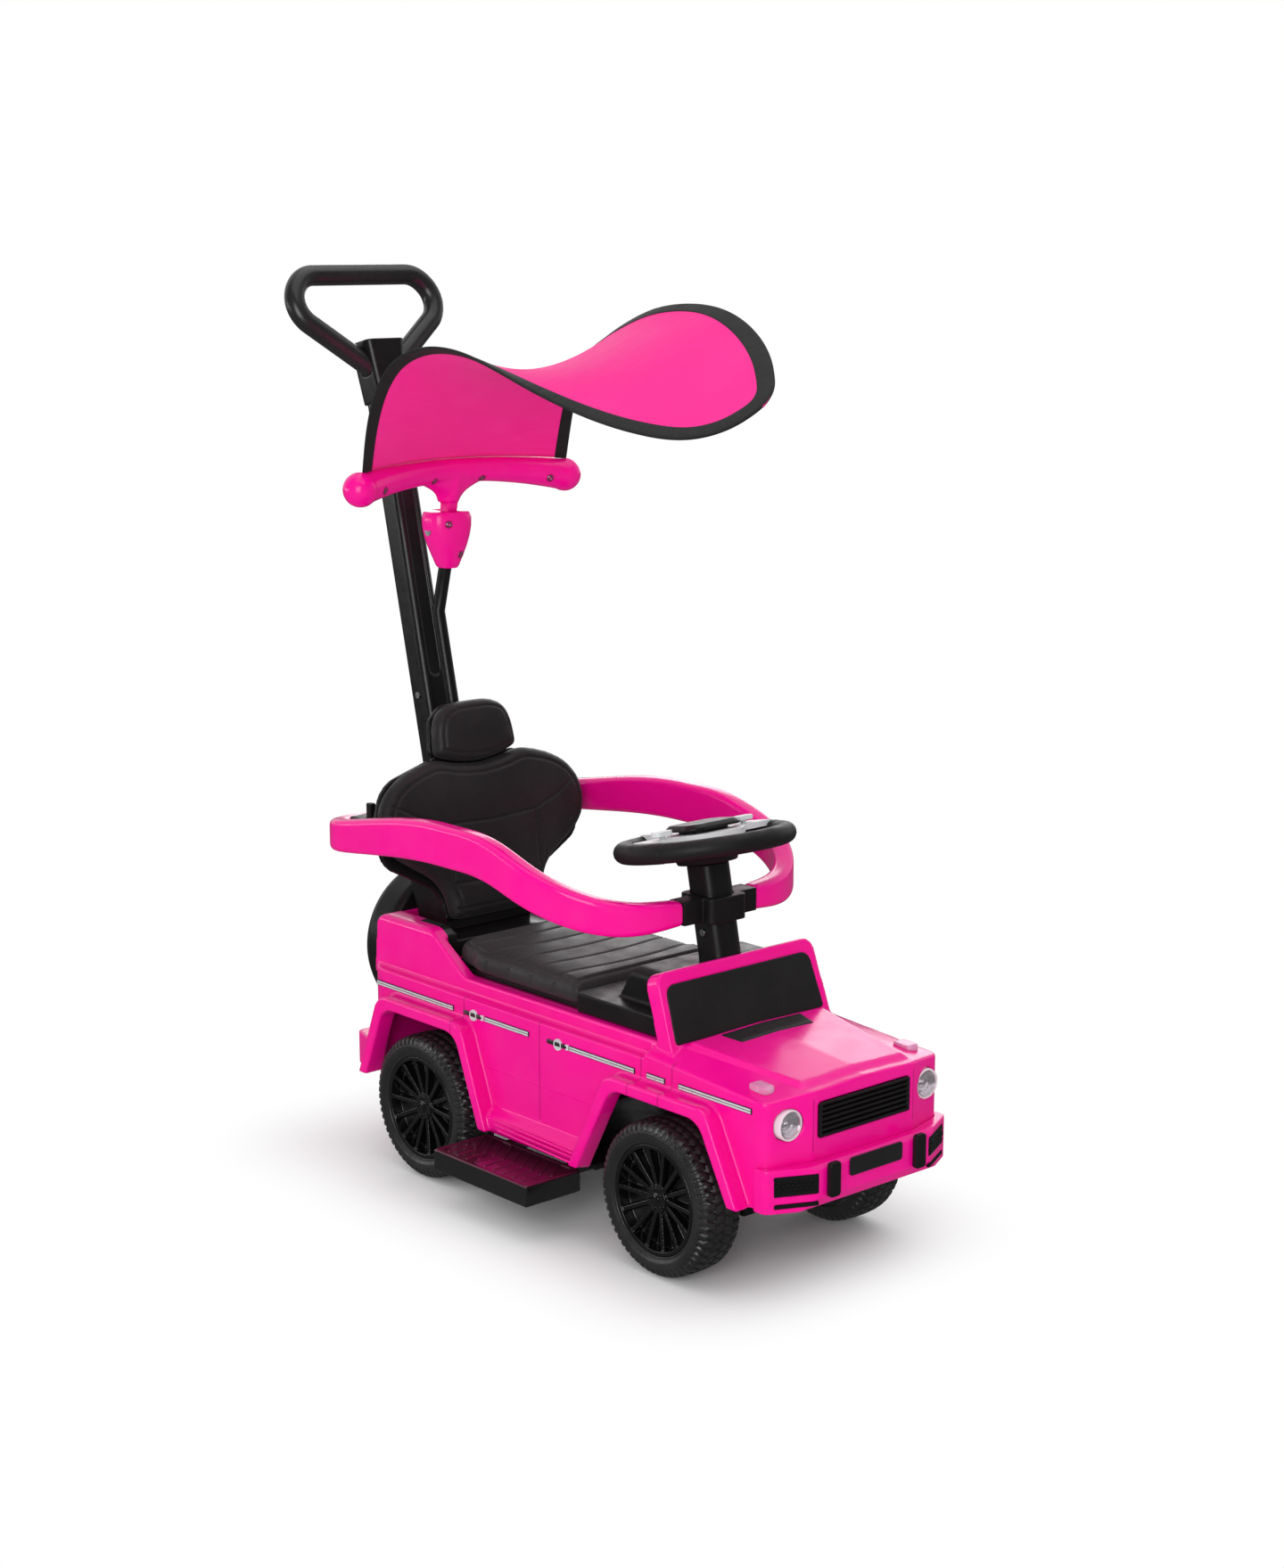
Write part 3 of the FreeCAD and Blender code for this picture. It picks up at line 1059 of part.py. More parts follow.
def music_button(side):
    """Raised button whose stem slides in the spoke."""
    base = steer_point(SPOKE_TOP) + SIDEWAYS * BUTTON_Y
    cap_low = base + COLUMN_AXIS * PAD_LIFT
    stem = rod(STEM_R, base - COLUMN_AXIS * (SPOKE_PLATE_T - PAD_LIFT), cap_low)
    cap = tilted_prism(oblong(BUTTON_R * 0.8, BUTTON_R * 1.3, 6), cap_low, COLUMN_FRONT, SIDEWAYS,
                       COLUMN_AXIS * BUTTON_T)
    return for_side(stem.fuse(cap).removeSplitter(), side)


# Seat and storage

def storage_box():
    """Open bin that hangs by its lip in the seat well."""
    half = BIN_HALF - FIT_GAP
    rear = BIN_REAR_X + FIT_GAP
    front = BIN_FRONT_X - FIT_GAP
    outer = plan_prism([(rear, -half, 10), (front, -half, 10), (front, half, 10), (rear, half, 10)],
                       BIN_FLOOR_Z, POCKET_Z + BIN_LIP_T)
    lip = plan_prism([(rear - BIN_LIP, -half - BIN_LIP, 12), (front + BIN_LIP, -half - BIN_LIP, 12),
                      (front + BIN_LIP, half + BIN_LIP, 12), (rear - BIN_LIP, half + BIN_LIP, 12)], POCKET_Z,
                     POCKET_Z + BIN_LIP_T)
    inner = plan_prism([(rear + WALL, -half + WALL, 7), (front - WALL, -half + WALL, 7),
                        (front - WALL, half - WALL, 7), (rear + WALL, half - WALL, 7)], BIN_FLOOR_Z + WALL,
                       POCKET_Z + 20)
    return joined([outer, lip]).cut(inner)


def seat_plan(inset, z0, z1):
    rear = SEAT_REAR_X + inset
    front = SEAT_FRONT_X - inset
    half = SEAT_HALF - inset
    return plan_prism([(rear, -half, 18), (front, -half, 6), (front, half, 6), (rear, half, 18)], z0, z1)


def cushion_plan(z0, z1):
    """Outline of the cushion: narrow between the slopes of the rear rim, wider over the rim ahead of them."""
    rear = SEAT_REAR_X
    front = SEAT_FRONT_X
    half = SEAT_HALF
    over = SEAT_HALF + SEAT_OVER - SEAT_SIDE_GAP
    side = [(rear + SEAT_END_GAP, half, 30), (rear + SEAT_NARROW_L, half, 50),
            (rear + SEAT_WIDE_FROM, over, 50), (front - SEAT_END_GAP, over, 6)]
    return plan_prism([(x, -y, r) for x, y, r in side] + [(x, y, r) for x, y, r in reversed(side)], z0, z1)


def seat_base():
    """Lid over the bin, with a locating frame that drops inside it."""
    low = POCKET_Z + BIN_LIP_T
    plate = seat_plan(1.5, low, low + SEAT_BASE_T)
    gap = 1.0
    half = BIN_HALF - WALL - FIT_GAP - gap
    rear = BIN_REAR_X + WALL + FIT_GAP + gap
    front = BIN_FRONT_X - WALL - FIT_GAP - gap
    frame = plan_prism([(rear, -half, 6), (front, -half, 6), (front, half, 6), (rear, half, 6)], low - 8, low)
    frame = frame.cut(plan_prism([(rear + 3, -half + 3, 4), (front - 3, -half + 3, 4),
                                  (front - 3, half - 3, 4), (rear + 3, half - 3, 4)], low - 9, low))
    return joined([plate, frame])


def seat_cushion():
    """Channelled cushion: shallow arcs across the seat, crowned from side to side, drawn in at its foot."""
    low = POCKET_Z + BIN_LIP_T + SEAT_BASE_T
    half = SEAT_HALF + SEAT_OVER
    pitch = (SEAT_FRONT_X - SEAT_REAR_X) / SEAT_CHANNELS
    edges = []
    for index in range(SEAT_CHANNELS):
        x0 = SEAT_REAR_X + pitch * index
        z = SEAT_TOP_Z - CHANNEL_DEPTH
        edges.append(Part.Arc(Vector(x0, -half, z), Vector(x0 + pitch / 2, -half, SEAT_TOP_Z),
                              Vector(x0 + pitch, -half, z)).toShape())
    front_top = Vector(SEAT_FRONT_X, -half, SEAT_TOP_Z - CHANNEL_DEPTH)
    rear_top = Vector(SEAT_REAR_X, -half, SEAT_TOP_Z - CHANNEL_DEPTH)
    front_low = Vector(SEAT_FRONT_X, -half, low)
    rear_low = Vector(SEAT_REAR_X, -half, low)
    edges.append(Part.makeLine(front_top, front_low))
    edges.append(Part.makeLine(front_low, rear_low))
    edges.append(Part.makeLine(rear_low, rear_top))
    channels = Part.Face(Part.Wire(edges)).extrude(Vector(0, 2 * half, 0))
    left_low = Vector(SEAT_REAR_X, -half + 3, low)
    left_top = Vector(SEAT_REAR_X, -half, SEAT_EDGE_Z)
    right_top = Vector(SEAT_REAR_X, half, SEAT_EDGE_Z)
    right_low = Vector(SEAT_REAR_X, half - 3, low)
    crown = Part.Arc(left_top, Vector(SEAT_REAR_X, 0, SEAT_TOP_Z + 2), right_top).toShape()
    section = Part.Wire([crown, Part.makeLine(right_top, right_low), Part.makeLine(right_low, left_low),
                         Part.makeLine(left_low, left_top)])
    across = Part.Face(section).extrude(Vector(SEAT_FRONT_X - SEAT_REAR_X, 0, 0))
    across = across.common(cushion_plan(low - 1, SEAT_TOP_Z + 10))
    return across.common(channels).removeSplitter()


# Backrest

def back_outline(shrink):
    """Right half and mirrored left half of the winged back, in sideways and up-the-back values."""
    half = [(STEM_HALF - shrink * 0.4, 0 + shrink, 4), (STEM_HALF + 6 - shrink, 36, 30),
            (WING_HALF - 6 - shrink, WING_S - 44, 30), (WING_HALF - shrink, WING_S, 55),
            (WING_HALF - 18 - shrink, SHOULDER_S - 20 - shrink * 0.5, 46),
            (HEAD_HALF + 8 - shrink, SHOULDER_S - shrink, 14)]
    middle = [(0, SHOULDER_S - HEAD_DIP - shrink, HEAD_DIP_R)]
    return [(-y, s, r) for y, s, r in half] + middle + [(y, s, r) for y, s, r in reversed(half)]


def head_outline(shrink):
    half = [(HEAD_HALF + 6 - shrink, SHOULDER_S + SEAM_GAP + shrink, 6),
            (HEAD_HALF - shrink, BACK_H - 16 - shrink, 22), (HEAD_HALF - 20 - shrink, BACK_H - shrink, 22)]
    middle = [(0, SHOULDER_S + SEAM_GAP - HEAD_DIP + shrink, HEAD_DIP_R)]
    return [(-y, s, r) for y, s, r in half] + [(y, s, r) for y, s, r in reversed(half)] + middle


def back_place(depth):
    base = Vector(BACK_X, 0, REAR_DECK_Z)
    return lambda y, s: base + BACK_FRONT * depth + SIDEWAYS * y + BACK_UP * s


def back_pad(outline, crown_shrink):
    """Padded form: drawn in at the shell, fullest at half depth, crowned in front."""
    stations = ((-BACK_PAD_T, 4.0), (-BACK_PAD_T * 0.5, 0.0), (-2.0, 4.0),
                (BACK_CROWN - 3, crown_shrink * 0.5), (BACK_CROWN, crown_shrink))
    wires = [rounded_wire(outline(shrink), back_place(depth)) for depth, shrink in stations]
    return Part.makeLoft(wires, True, True)


def backrest_cushion():
    return back_pad(back_outline, BACK_CROWN_IN)


def headrest_cushion():
    return back_pad(head_outline, HEAD_CROWN_IN)


def backrest_shell():
    depth = -BACK_PAD_T
    low = rounded_wire(back_outline(1.0), back_place(depth))
    back = Part.Face(low).extrude(BACK_FRONT * -BACK_SHELL_T)
    head = Part.Face(rounded_wire(head_outline(1.0), back_place(depth))).extrude(BACK_FRONT * -BACK_SHELL_T)
    neck_wire = rounded_wire([(-HEAD_HALF, SHOULDER_S - 20), (HEAD_HALF, SHOULDER_S - 20),
                              (HEAD_HALF, SHOULDER_S + 20), (-HEAD_HALF, SHOULDER_S + 20)],
                             back_place(depth))
    neck = Part.Face(neck_wire).extrude(BACK_FRONT * -BACK_SHELL_T)
    foot = back_foot()
    return joined([back, head, neck, foot]).cut([pole_solid(FIT_GAP), backrest_cushion()])


def back_foot():
    """Foot of the backrest that stands in the well of the rear deck, round the pole."""
    lip_lean = (REAR_DECK_Z - DECK_WELL_Z) * math.tan(BACK_TILT)
    rear = REAR_X + TAIL_LIP + lip_lean + END_GAP
    front = BACK_X - BACK_PAD_T - 2
    lean = BACK_FOOT_RISE * math.tan(BACK_TILT)
    wires = []
    for height, half in ((0.0, BACK_FOOT_HALF), (BACK_FOOT_RISE, BACK_FOOT_HALF + 8)):
        x0 = rear - lean * height / BACK_FOOT_RISE
        x1 = front - lean * height / BACK_FOOT_RISE
        points = [(x0, -half, 8), (x1, -half, 3), (x1, half, 3), (x0, half, 8)]
        wires.append(rounded_wire(points, lambda x, y, at=height: Vector(x, y, DECK_WELL_Z + at)))
    return Part.makeLoft(wires, True, True)


# Guard ring

def ring_section(middle, tangent, height):
    """Rounded section of an arm, square to its run."""
    across = Vector(-tangent.y, tangent.x, 0)
    across.normalize()
    points = oblong(ARM_W / 2, height / 2, 7)
    return rounded_wire(points, lambda u, v: middle + across * u + UPRIGHT * v)


def ease(share):
    """Smooth step from 0 to 1."""
    return 3 * share ** 2 - 2 * share ** 3


def ring_place(length):
    """Point in plan and running direction, at a length along an arm from its front end."""
    front_turn = RING_FRONT_R * math.pi / 2
    rear_turn = RING_REAR_R * math.pi / 2
    lead_in = RING_HALF - RING_FRONT_R - COLLAR_HALF_Y - FIT_GAP
    straight = RING_FRONT_X - RING_FRONT_R - RING_REAR_X - RING_REAR_R
    if length < lead_in:
        return Vector(RING_FRONT_X, COLLAR_HALF_Y + FIT_GAP + length, 0), Vector(0, 1, 0)
    length -= lead_in
    if length < front_turn:
        turn = length / RING_FRONT_R
        middle = Vector(RING_FRONT_X - RING_FRONT_R, RING_HALF - RING_FRONT_R, 0)
        return middle + Vector(math.cos(turn), math.sin(turn), 0) * RING_FRONT_R, Vector(-math.sin(turn),
                math.cos(turn), 0)
    length -= front_turn
    if length < straight:
        return Vector(RING_FRONT_X - RING_FRONT_R - length, RING_HALF, 0), Vector(-1, 0, 0)
    length -= straight
    if length < rear_turn:
        turn = length / RING_REAR_R
        middle = Vector(RING_REAR_X + RING_REAR_R, RING_HALF - RING_REAR_R, 0)
        return middle + Vector(-math.sin(turn), math.cos(turn), 0) * RING_REAR_R, Vector(-math.cos(turn),
                -math.sin(turn), 0)
    length -= rear_turn
    return Vector(RING_REAR_X, RING_HALF - RING_REAR_R - length, 0), Vector(0, -1, 0)


def guard_arm(side):
    """Arm from the collar on the column round to the rear bracket, drawn on the left."""
    peak = RING_HALF - RING_FRONT_R - COLLAR_HALF_Y - FIT_GAP + RING_FRONT_R * math.pi / 2
    peak += RING_FRONT_X - RING_FRONT_R - RING_PEAK_X
    total = peak + RING_PEAK_X - RING_REAR_X - RING_REAR_R + RING_REAR_R * math.pi / 2
    total += RING_HALF - RING_REAR_R - BRACKET_HALF_Y - FIT_GAP
    wires = []
    for index in range(RING_STATIONS + 1):
        length = total * index / RING_STATIONS
        place, tangent = ring_place(length)
        if length < peak:
            share = 1 - length / peak
            end_z, end_height = RING_FRONT_Z, ARM_H_FRONT
            drop = ease(min(1.0, max(0.0, (share - RING_LEVEL) / (1 - 2 * RING_LEVEL))))
            narrowing = share ** 3
        else:
            share = (length - peak) / (total - peak)
            end_z, end_height = RING_REAR_Z, ARM_H_REAR
            drop = ease(share)
            narrowing = drop
        place.z = RING_PEAK_Z + (end_z - RING_PEAK_Z) * drop
        height = ARM_H_MID + (end_height - ARM_H_MID) * narrowing
        wires.append(ring_section(place, tangent, height))
    return for_side(Part.makeLoft(wires, True, False), side)


def guard_collar():
    """Black collar on the column that takes the front ends of both arms."""
    low = RING_FRONT_Z - COLLAR_H / 2
    half = COLUMN_W / 2 + COLLAR_WALL
    middle = column_point(RING_FRONT_Z).x
    hub = plan_prism([(middle - half, -half, 8), (middle + half, -half, 8), (middle + half, half, 8),
                      (middle - half, half, 8)], low, low + COLLAR_H)
    wing = block(RING_FRONT_X - ARM_W / 2 - 1, RING_FRONT_X + ARM_W / 2 + 1, -COLLAR_HALF_Y, COLLAR_HALF_Y,
                 low + 1, low + COLLAR_H - 1)
    return joined([hub, wing]).cut(column_solid(FIT_GAP))


def pole_point(s):
    return POLE_FOOT + POLE_AXIS * s


def guard_bracket():
    """Cross bar behind the backrest, round the pole, that takes the rear ends of both arms."""
    low = RING_REAR_Z - BRACKET_H / 2
    bar = block(RING_REAR_X - BRACKET_T / 2, RING_REAR_X + BRACKET_T / 2, -BRACKET_HALF_Y, BRACKET_HALF_Y,
                low, low + BRACKET_H)
    s = (RING_REAR_Z - REAR_DECK_Z) / math.cos(POLE_TILT)
    points = oblong(POLE_D / 2 + 6, POLE_W / 2 + 6, 9)
    ring = tilted_prism(points, pole_point(s) - POLE_AXIS * (BRACKET_H / 2), POLE_FRONT, SIDEWAYS,
                        POLE_AXIS * BRACKET_H)
    return joined([bar, ring]).cut(pole_solid(FIT_GAP))


# Push pole and handle

def push_pole():
    """Moulded pole with a shallow channel down its front, round at the lower end."""
    front = POLE_FRONT * (POLE_D / 2 - GROOVE_DEPTH)
    start = pole_point(GROOVE_FOOT) + front
    half = GROOVE_W / 2
    length = POLE_END - BLOCK_OVER - GROOVE_FOOT - 6
    points = [(-half, 0, half - 0.5), (half, 0, half - 0.5), (half, length, 3), (-half, length, 3)]
    groove = tilted_prism(points, start, SIDEWAYS, POLE_AXIS, POLE_FRONT * (GROOVE_DEPTH + 2))
    return pole_solid(0).cut(groove)


def pole_socket():
    """Sleeve under the rear deck that holds the foot of the pole."""
    under = block(REAR_X, REAR_X + 200, -BODY_HALF, BODY_HALF, SILL_Z, DECK_WELL_Z)
    return socket_form(0).common(under).cut(pole_solid(FIT_GAP))


def loop_path():
    base = pole_point(POLE_UP)
    half = [(LOOP_FOOT_Y, LOOP_FOOT_S), (LOOP_SIDE_Y, LOOP_SIDE_S), (LOOP_TOP_Y, LOOP_TOP_S)]
    points = [base + SIDEWAYS * -y + LOOP_UP * s for y, s in half] + [base + SIDEWAYS * y + LOOP_UP * s
            for y, s in reversed(half)]
    edges = []
    last = points[0]
    for index in range(1, len(points) - 1):
        here = points[index]
        back = (points[index - 1] - here).normalize()
        ahead = (points[index + 1] - here).normalize()
        half_angle = back.getAngle(ahead) / 2
        reach = LOOP_BEND_R / math.tan(half_angle)
        inward = LOOP_BEND_R / math.sin(half_angle) - LOOP_BEND_R
        crest = here + (back + ahead).normalize() * inward
        start = here + back * reach
        end = here + ahead * reach
        edges.append(Part.makeLine(last, start))
        edges.append(Part.Arc(start, crest, end).toShape())
        last = end
    edges.append(Part.makeLine(last, points[-1]))
    return Part.Wire(edges)


def loop_solid(radius):
    path = loop_path()
    start = path.Edges[0].valueAt(path.Edges[0].FirstParameter)
    way = path.Edges[0].tangentAt(path.Edges[0].FirstParameter)
    ring = Part.Wire([Part.makeCircle(radius, start, way)])
    return path.makePipeShell([ring], True, False)


def block_solid():
    """Trapezoid block on top of the pole."""
    low = pole_point(POLE_UP + BLOCK_CAP - BLOCK_H)
    wires = []
    for height, half_w in ((0.0, BLOCK_W / 2 - 7), (BLOCK_H, BLOCK_W / 2)):
        points = oblong(BLOCK_D / 2, half_w, 9)
        wires.append(rounded_wire(points, lambda u, v, at=height: low + POLE_AXIS * at + POLE_FRONT * u
                                  + SIDEWAYS * v))
    return Part.makeLoft(wires, True, True)


def handle_loop():
    return loop_solid(LOOP_TUBE_R)


def handle_block():
    return block_solid().cut([loop_solid(LOOP_TUBE_R + FIT_GAP), pole_solid(FIT_GAP)])


# Canopy

def post_points():
    foot = pole_point(POST_FOOT_S) + POLE_FRONT * POST_AHEAD
    bend = pole_point(POST_BEND_S) + POLE_FRONT * POST_AHEAD
    top = Vector(JOINT_X, 0, JOINT_LOW_Z + 16)
    return foot, bend, top


def post_solid(radius):
    foot, bend, top = post_points()
    lower = rod(radius, foot, bend)
    upper = rod(radius, bend, top)
    return lower.fuse([Part.makeSphere(radius, bend), upper]).removeSplitter()


def post_bracket():
    """Saddle screwed to the front of the pole, which holds the foot of the canopy post."""
    low = pole_point(POST_FOOT_S - 4)
    reach = POST_AHEAD + POST_R + 3
    half = POLE_W / 2 - 4
    points = [(POLE_D / 2 - 6, -half, 3), (reach, -POST_R - 5, 6), (reach, POST_R + 5, 6),
              (POLE_D / 2 - 6, half, 3)]
    clamp = tilted_prism(points, low, POLE_FRONT, SIDEWAYS, POLE_AXIS * 44)
    return clamp.cut([pole_solid(FIT_GAP), post_solid(POST_R + FIT_GAP)])


def joint_housing():
    """Shield-shaped housing on the post; its slot lets the canopy tongue tilt."""
    centre = Vector(JOINT_X, 0, 0)
    wires = []
    for z, half_x, half_y, radius in ((JOINT_LOW_Z, JOINT_FOOT_R, JOINT_FOOT_R, 6),
                                      (JOINT_LOW_Z + 26, JOINT_HALF_X - 4, JOINT_HALF_Y - 5, 9),
                                      (JOINT_TOP_Z - 8, JOINT_HALF_X, JOINT_HALF_Y, 10),
                                      (JOINT_TOP_Z, JOINT_HALF_X - 2, JOINT_HALF_Y - 2, 9)):
        wires.append(rounded_wire(oblong(half_x, half_y, radius), lambda u, v,
                                  at=z: centre + Vector(u, v, at)))
    form = Part.makeLoft(wires, True, True)
    half = TONGUE_T / 2 + SLIDE_GAP
    room = math.tan(math.radians(TILT_ROOM))
    foot = TONGUE_R + 1.0
    lift = JOINT_TOP_Z + 5 - PIVOT_Z
    reach = TONGUE_R + lift * room + 1.5
    points = [(JOINT_X - foot, PIVOT_Z - foot, 6), (JOINT_X + foot, PIVOT_Z - foot, 6),
              (JOINT_X + foot, PIVOT_Z), (JOINT_X + reach, JOINT_TOP_Z + 5),
              (JOINT_X - reach, JOINT_TOP_Z + 5), (JOINT_X - foot, PIVOT_Z)]
    slot = side_prism(points, -half, half)
    bolt = rod(PIVOT_R + FIT_GAP, Vector(JOINT_X, -60, PIVOT_Z), Vector(JOINT_X, 60, PIVOT_Z))
    return form.cut([slot, bolt, post_solid(POST_R + FIT_GAP)])


def pivot_bolt():
    end = JOINT_HALF_Y + 0.5
    shank = rod(PIVOT_R, Vector(JOINT_X, -end, PIVOT_Z), Vector(JOINT_X, end, PIVOT_Z))
    heads = []
    for side in (1, -1):
        start = Vector(JOINT_X, side * end, PIVOT_Z)
        heads.append(rod(PIVOT_R + 2.5, start, start + SIDEWAYS * (side * 2)))
    return joined([shank] + heads)


def bow_circle():
    """Arc of the bow through both ends and its raised, set-back middle."""
    left = Vector(BOW_X, BOW_HALF, BOW_Z)
    right = Vector(BOW_X, -BOW_HALF, BOW_Z)
    middle = Vector(BOW_X - BOW_BACK, 0, BOW_Z + BOW_RISE)
    return left, middle, right


def canopy_bow():
    """Bow, thick at its ends, with the tongue that turns on the pivot bolt."""
    left, middle, right = bow_circle()
    arc = Part.Arc(right, middle, left).toShape()
    first, last = arc.ParameterRange
    wires = []
    steps = 6
    for index in range(steps + 1):
        share = index / steps
        at = first + (last - first) * share
        radius = BOW_R_MID + (BOW_R_END - BOW_R_MID) * abs(2 * share - 1) ** 2
        wires.append(Part.Wire([Part.makeCircle(radius, arc.valueAt(at), arc.tangentAt(at))]))
    tube = Part.makeLoft(wires, True, False)
    ends = [Part.makeSphere(BOW_BALL_R, left), Part.makeSphere(BOW_BALL_R, right)]
    pivot = Vector(JOINT_X, 0, PIVOT_Z)
    lean = middle - pivot
    up = Vector(lean.x, 0, lean.z)
    length = up.Length
    up.normalize()
    ahead = Vector(up.z, 0, -up.x)
    tongue = tilted_prism([(-TONGUE_R, 0), (TONGUE_R, 0), (TONGUE_R, length), (-TONGUE_R, length)],
                          pivot - SIDEWAYS * (TONGUE_T / 2), ahead, up, SIDEWAYS * TONGUE_T)
    eye = rod(TONGUE_R, pivot - SIDEWAYS * (TONGUE_T / 2), pivot + SIDEWAYS * (TONGUE_T / 2))
    stem = Part.makeCone(TONGUE_R + 3, BOW_R_MID, length * 0.5 - 2, pivot + up * (length * 0.5), up)
    bolt = rod(PIVOT_R + RUN_GAP, pivot - SIDEWAYS * 40, pivot + SIDEWAYS * 40)
    return tube.fuse(ends + [tongue, eye, stem]).cut(bolt)


def cloth_edge(side, points):
    start = Vector(BOW_X + 5, side * (BOW_HALF - 2), BOW_Z + BOW_BALL_R - CLOTH_SEAT)
    curve = Part.BSplineCurve()
    run = [Vector(BOW_X + ahead, side * (BOW_HALF - inside), BOW_Z + above) for ahead, inside,
           above in points]
    curve.interpolate([start] + run)
    return curve


def canopy_cloth():
    """Thin solid shade between its two edges: bowed like its bow at the rear, rounded at the front."""
    right = cloth_edge(-1, CLOTH_RIGHT)
    left = cloth_edge(1, CLOTH_LEFT)
    stations = 10
    across = 6
    grid = []
    for i in range(stations + 1):
        t = i / stations
        a = right.value(right.FirstParameter + (right.LastParameter - right.FirstParameter) * t)
        b = left.value(left.FirstParameter + (left.LastParameter - left.FirstParameter) * t)
        row = []
        for j in range(across + 1):
            s = j / across
            bulge = 4 * s * (1 - s)
            rear = max(0.0, 1 - 4 * t) ** 2
            front = max(0.0, 5 * t - 4) ** 2
            sag = CLOTH_SAG * math.sin(math.pi * min(1.0, t / CLOTH_SAG_END)) ** 2
            rise = (BOW_RISE - BOW_BALL_R + BOW_R_MID) * rear - sag
            row.append(a + (b - a) * s + Vector(bulge * (16 * front - BOW_BACK * rear), 0, bulge * rise))
        grid.append(row)
    surface = Part.BSplineSurface()
    surface.interpolate(grid)
    return surface.toShape().makeOffsetShape(CLOTH_T, 0.01, fill=True)


# Spare wheel, footrests and screws

def spare_wheel():
    """Moulded spare wheel with a raised tyre, against the tail."""
    start = Vector(REAR_X, 0, SPARE_Z)
    outline = [(0, 0), (SPARE_R - 6, 0, 3), (SPARE_R - 2, 8, 4), (SPARE_R, SPARE_T * 0.75, 5),
               (SPARE_R - 7, SPARE_T, 5), (SPARE_FACE_R, SPARE_T, 3),
               (SPARE_FACE_R - 4, SPARE_T - SPARE_DISH), (0, SPARE_T - SPARE_DISH)]
    wire = rounded_wire(outline, lambda r, t: start + UPRIGHT * r - FORWARD * t)
    return Part.Face(wire).revolve(start, FORWARD, 360).cut(pole_solid(FIT_GAP))


def footrest(side):
    """Ribbed step with two runners that slide in the chassis sleeves, drawn on the left."""
    front = FOOT_FRONT_X
    rear = FOOT_REAR_X
    low = FOOT_TOP_Z - FOOT_H
    step = plan_prism([(rear, FOOT_IN_Y, 4), (front, FOOT_IN_Y, 4), (front, FOOT_OUT_Y, 7),
                       (rear, FOOT_OUT_Y, 7)], low, FOOT_TOP_Z - TREAD_H)
    hollow = plan_prism([(rear + 4, FOOT_IN_Y + 4, 3), (front - 4, FOOT_IN_Y + 4, 3),
                         (front - 4, FOOT_OUT_Y - 4, 4), (rear + 4, FOOT_OUT_Y - 4, 4)], low - 1,
                        FOOT_TOP_Z - TREAD_H - 5)
    pieces = [step.cut(hollow)]
    pitch = (front - rear - 24) / TREAD_RIBS
    for index in range(TREAD_RIBS):
        x = rear + 12 + pitch * (index + 0.5)
        pieces.append(block(x - pitch * 0.27, x + pitch * 0.27, FOOT_IN_Y + 10, FOOT_OUT_Y - 10,
                            FOOT_TOP_Z - TREAD_H - 1, FOOT_TOP_Z))
    for x in RUNNER_XS:
        at = x - side * RUNNER_STAGGER
        pieces.append(block(at - RUNNER_W / 2, at + RUNNER_W / 2, RUNNER_END_Y, FOOT_IN_Y + 6,
                            FOOT_TOP_Z - RUNNER_H, FOOT_TOP_Z))
    return for_side(joined(pieces), side)


def screws():
    """Screw heads on both sides of the pole and of the steering column."""
    heads = []
    for side in (-1, 1):
        way = SIDEWAYS * side
        for spot in (pole_point(SCREW_POLE_S) + way * (POLE_W / 2),
                     column_point(SCREW_COLUMN_Z) + way * (COLUMN_W / 2)):
            heads.append(rod(SCREW_R, spot, spot + way * SCREW_T))
    return Part.makeCompound(heads)


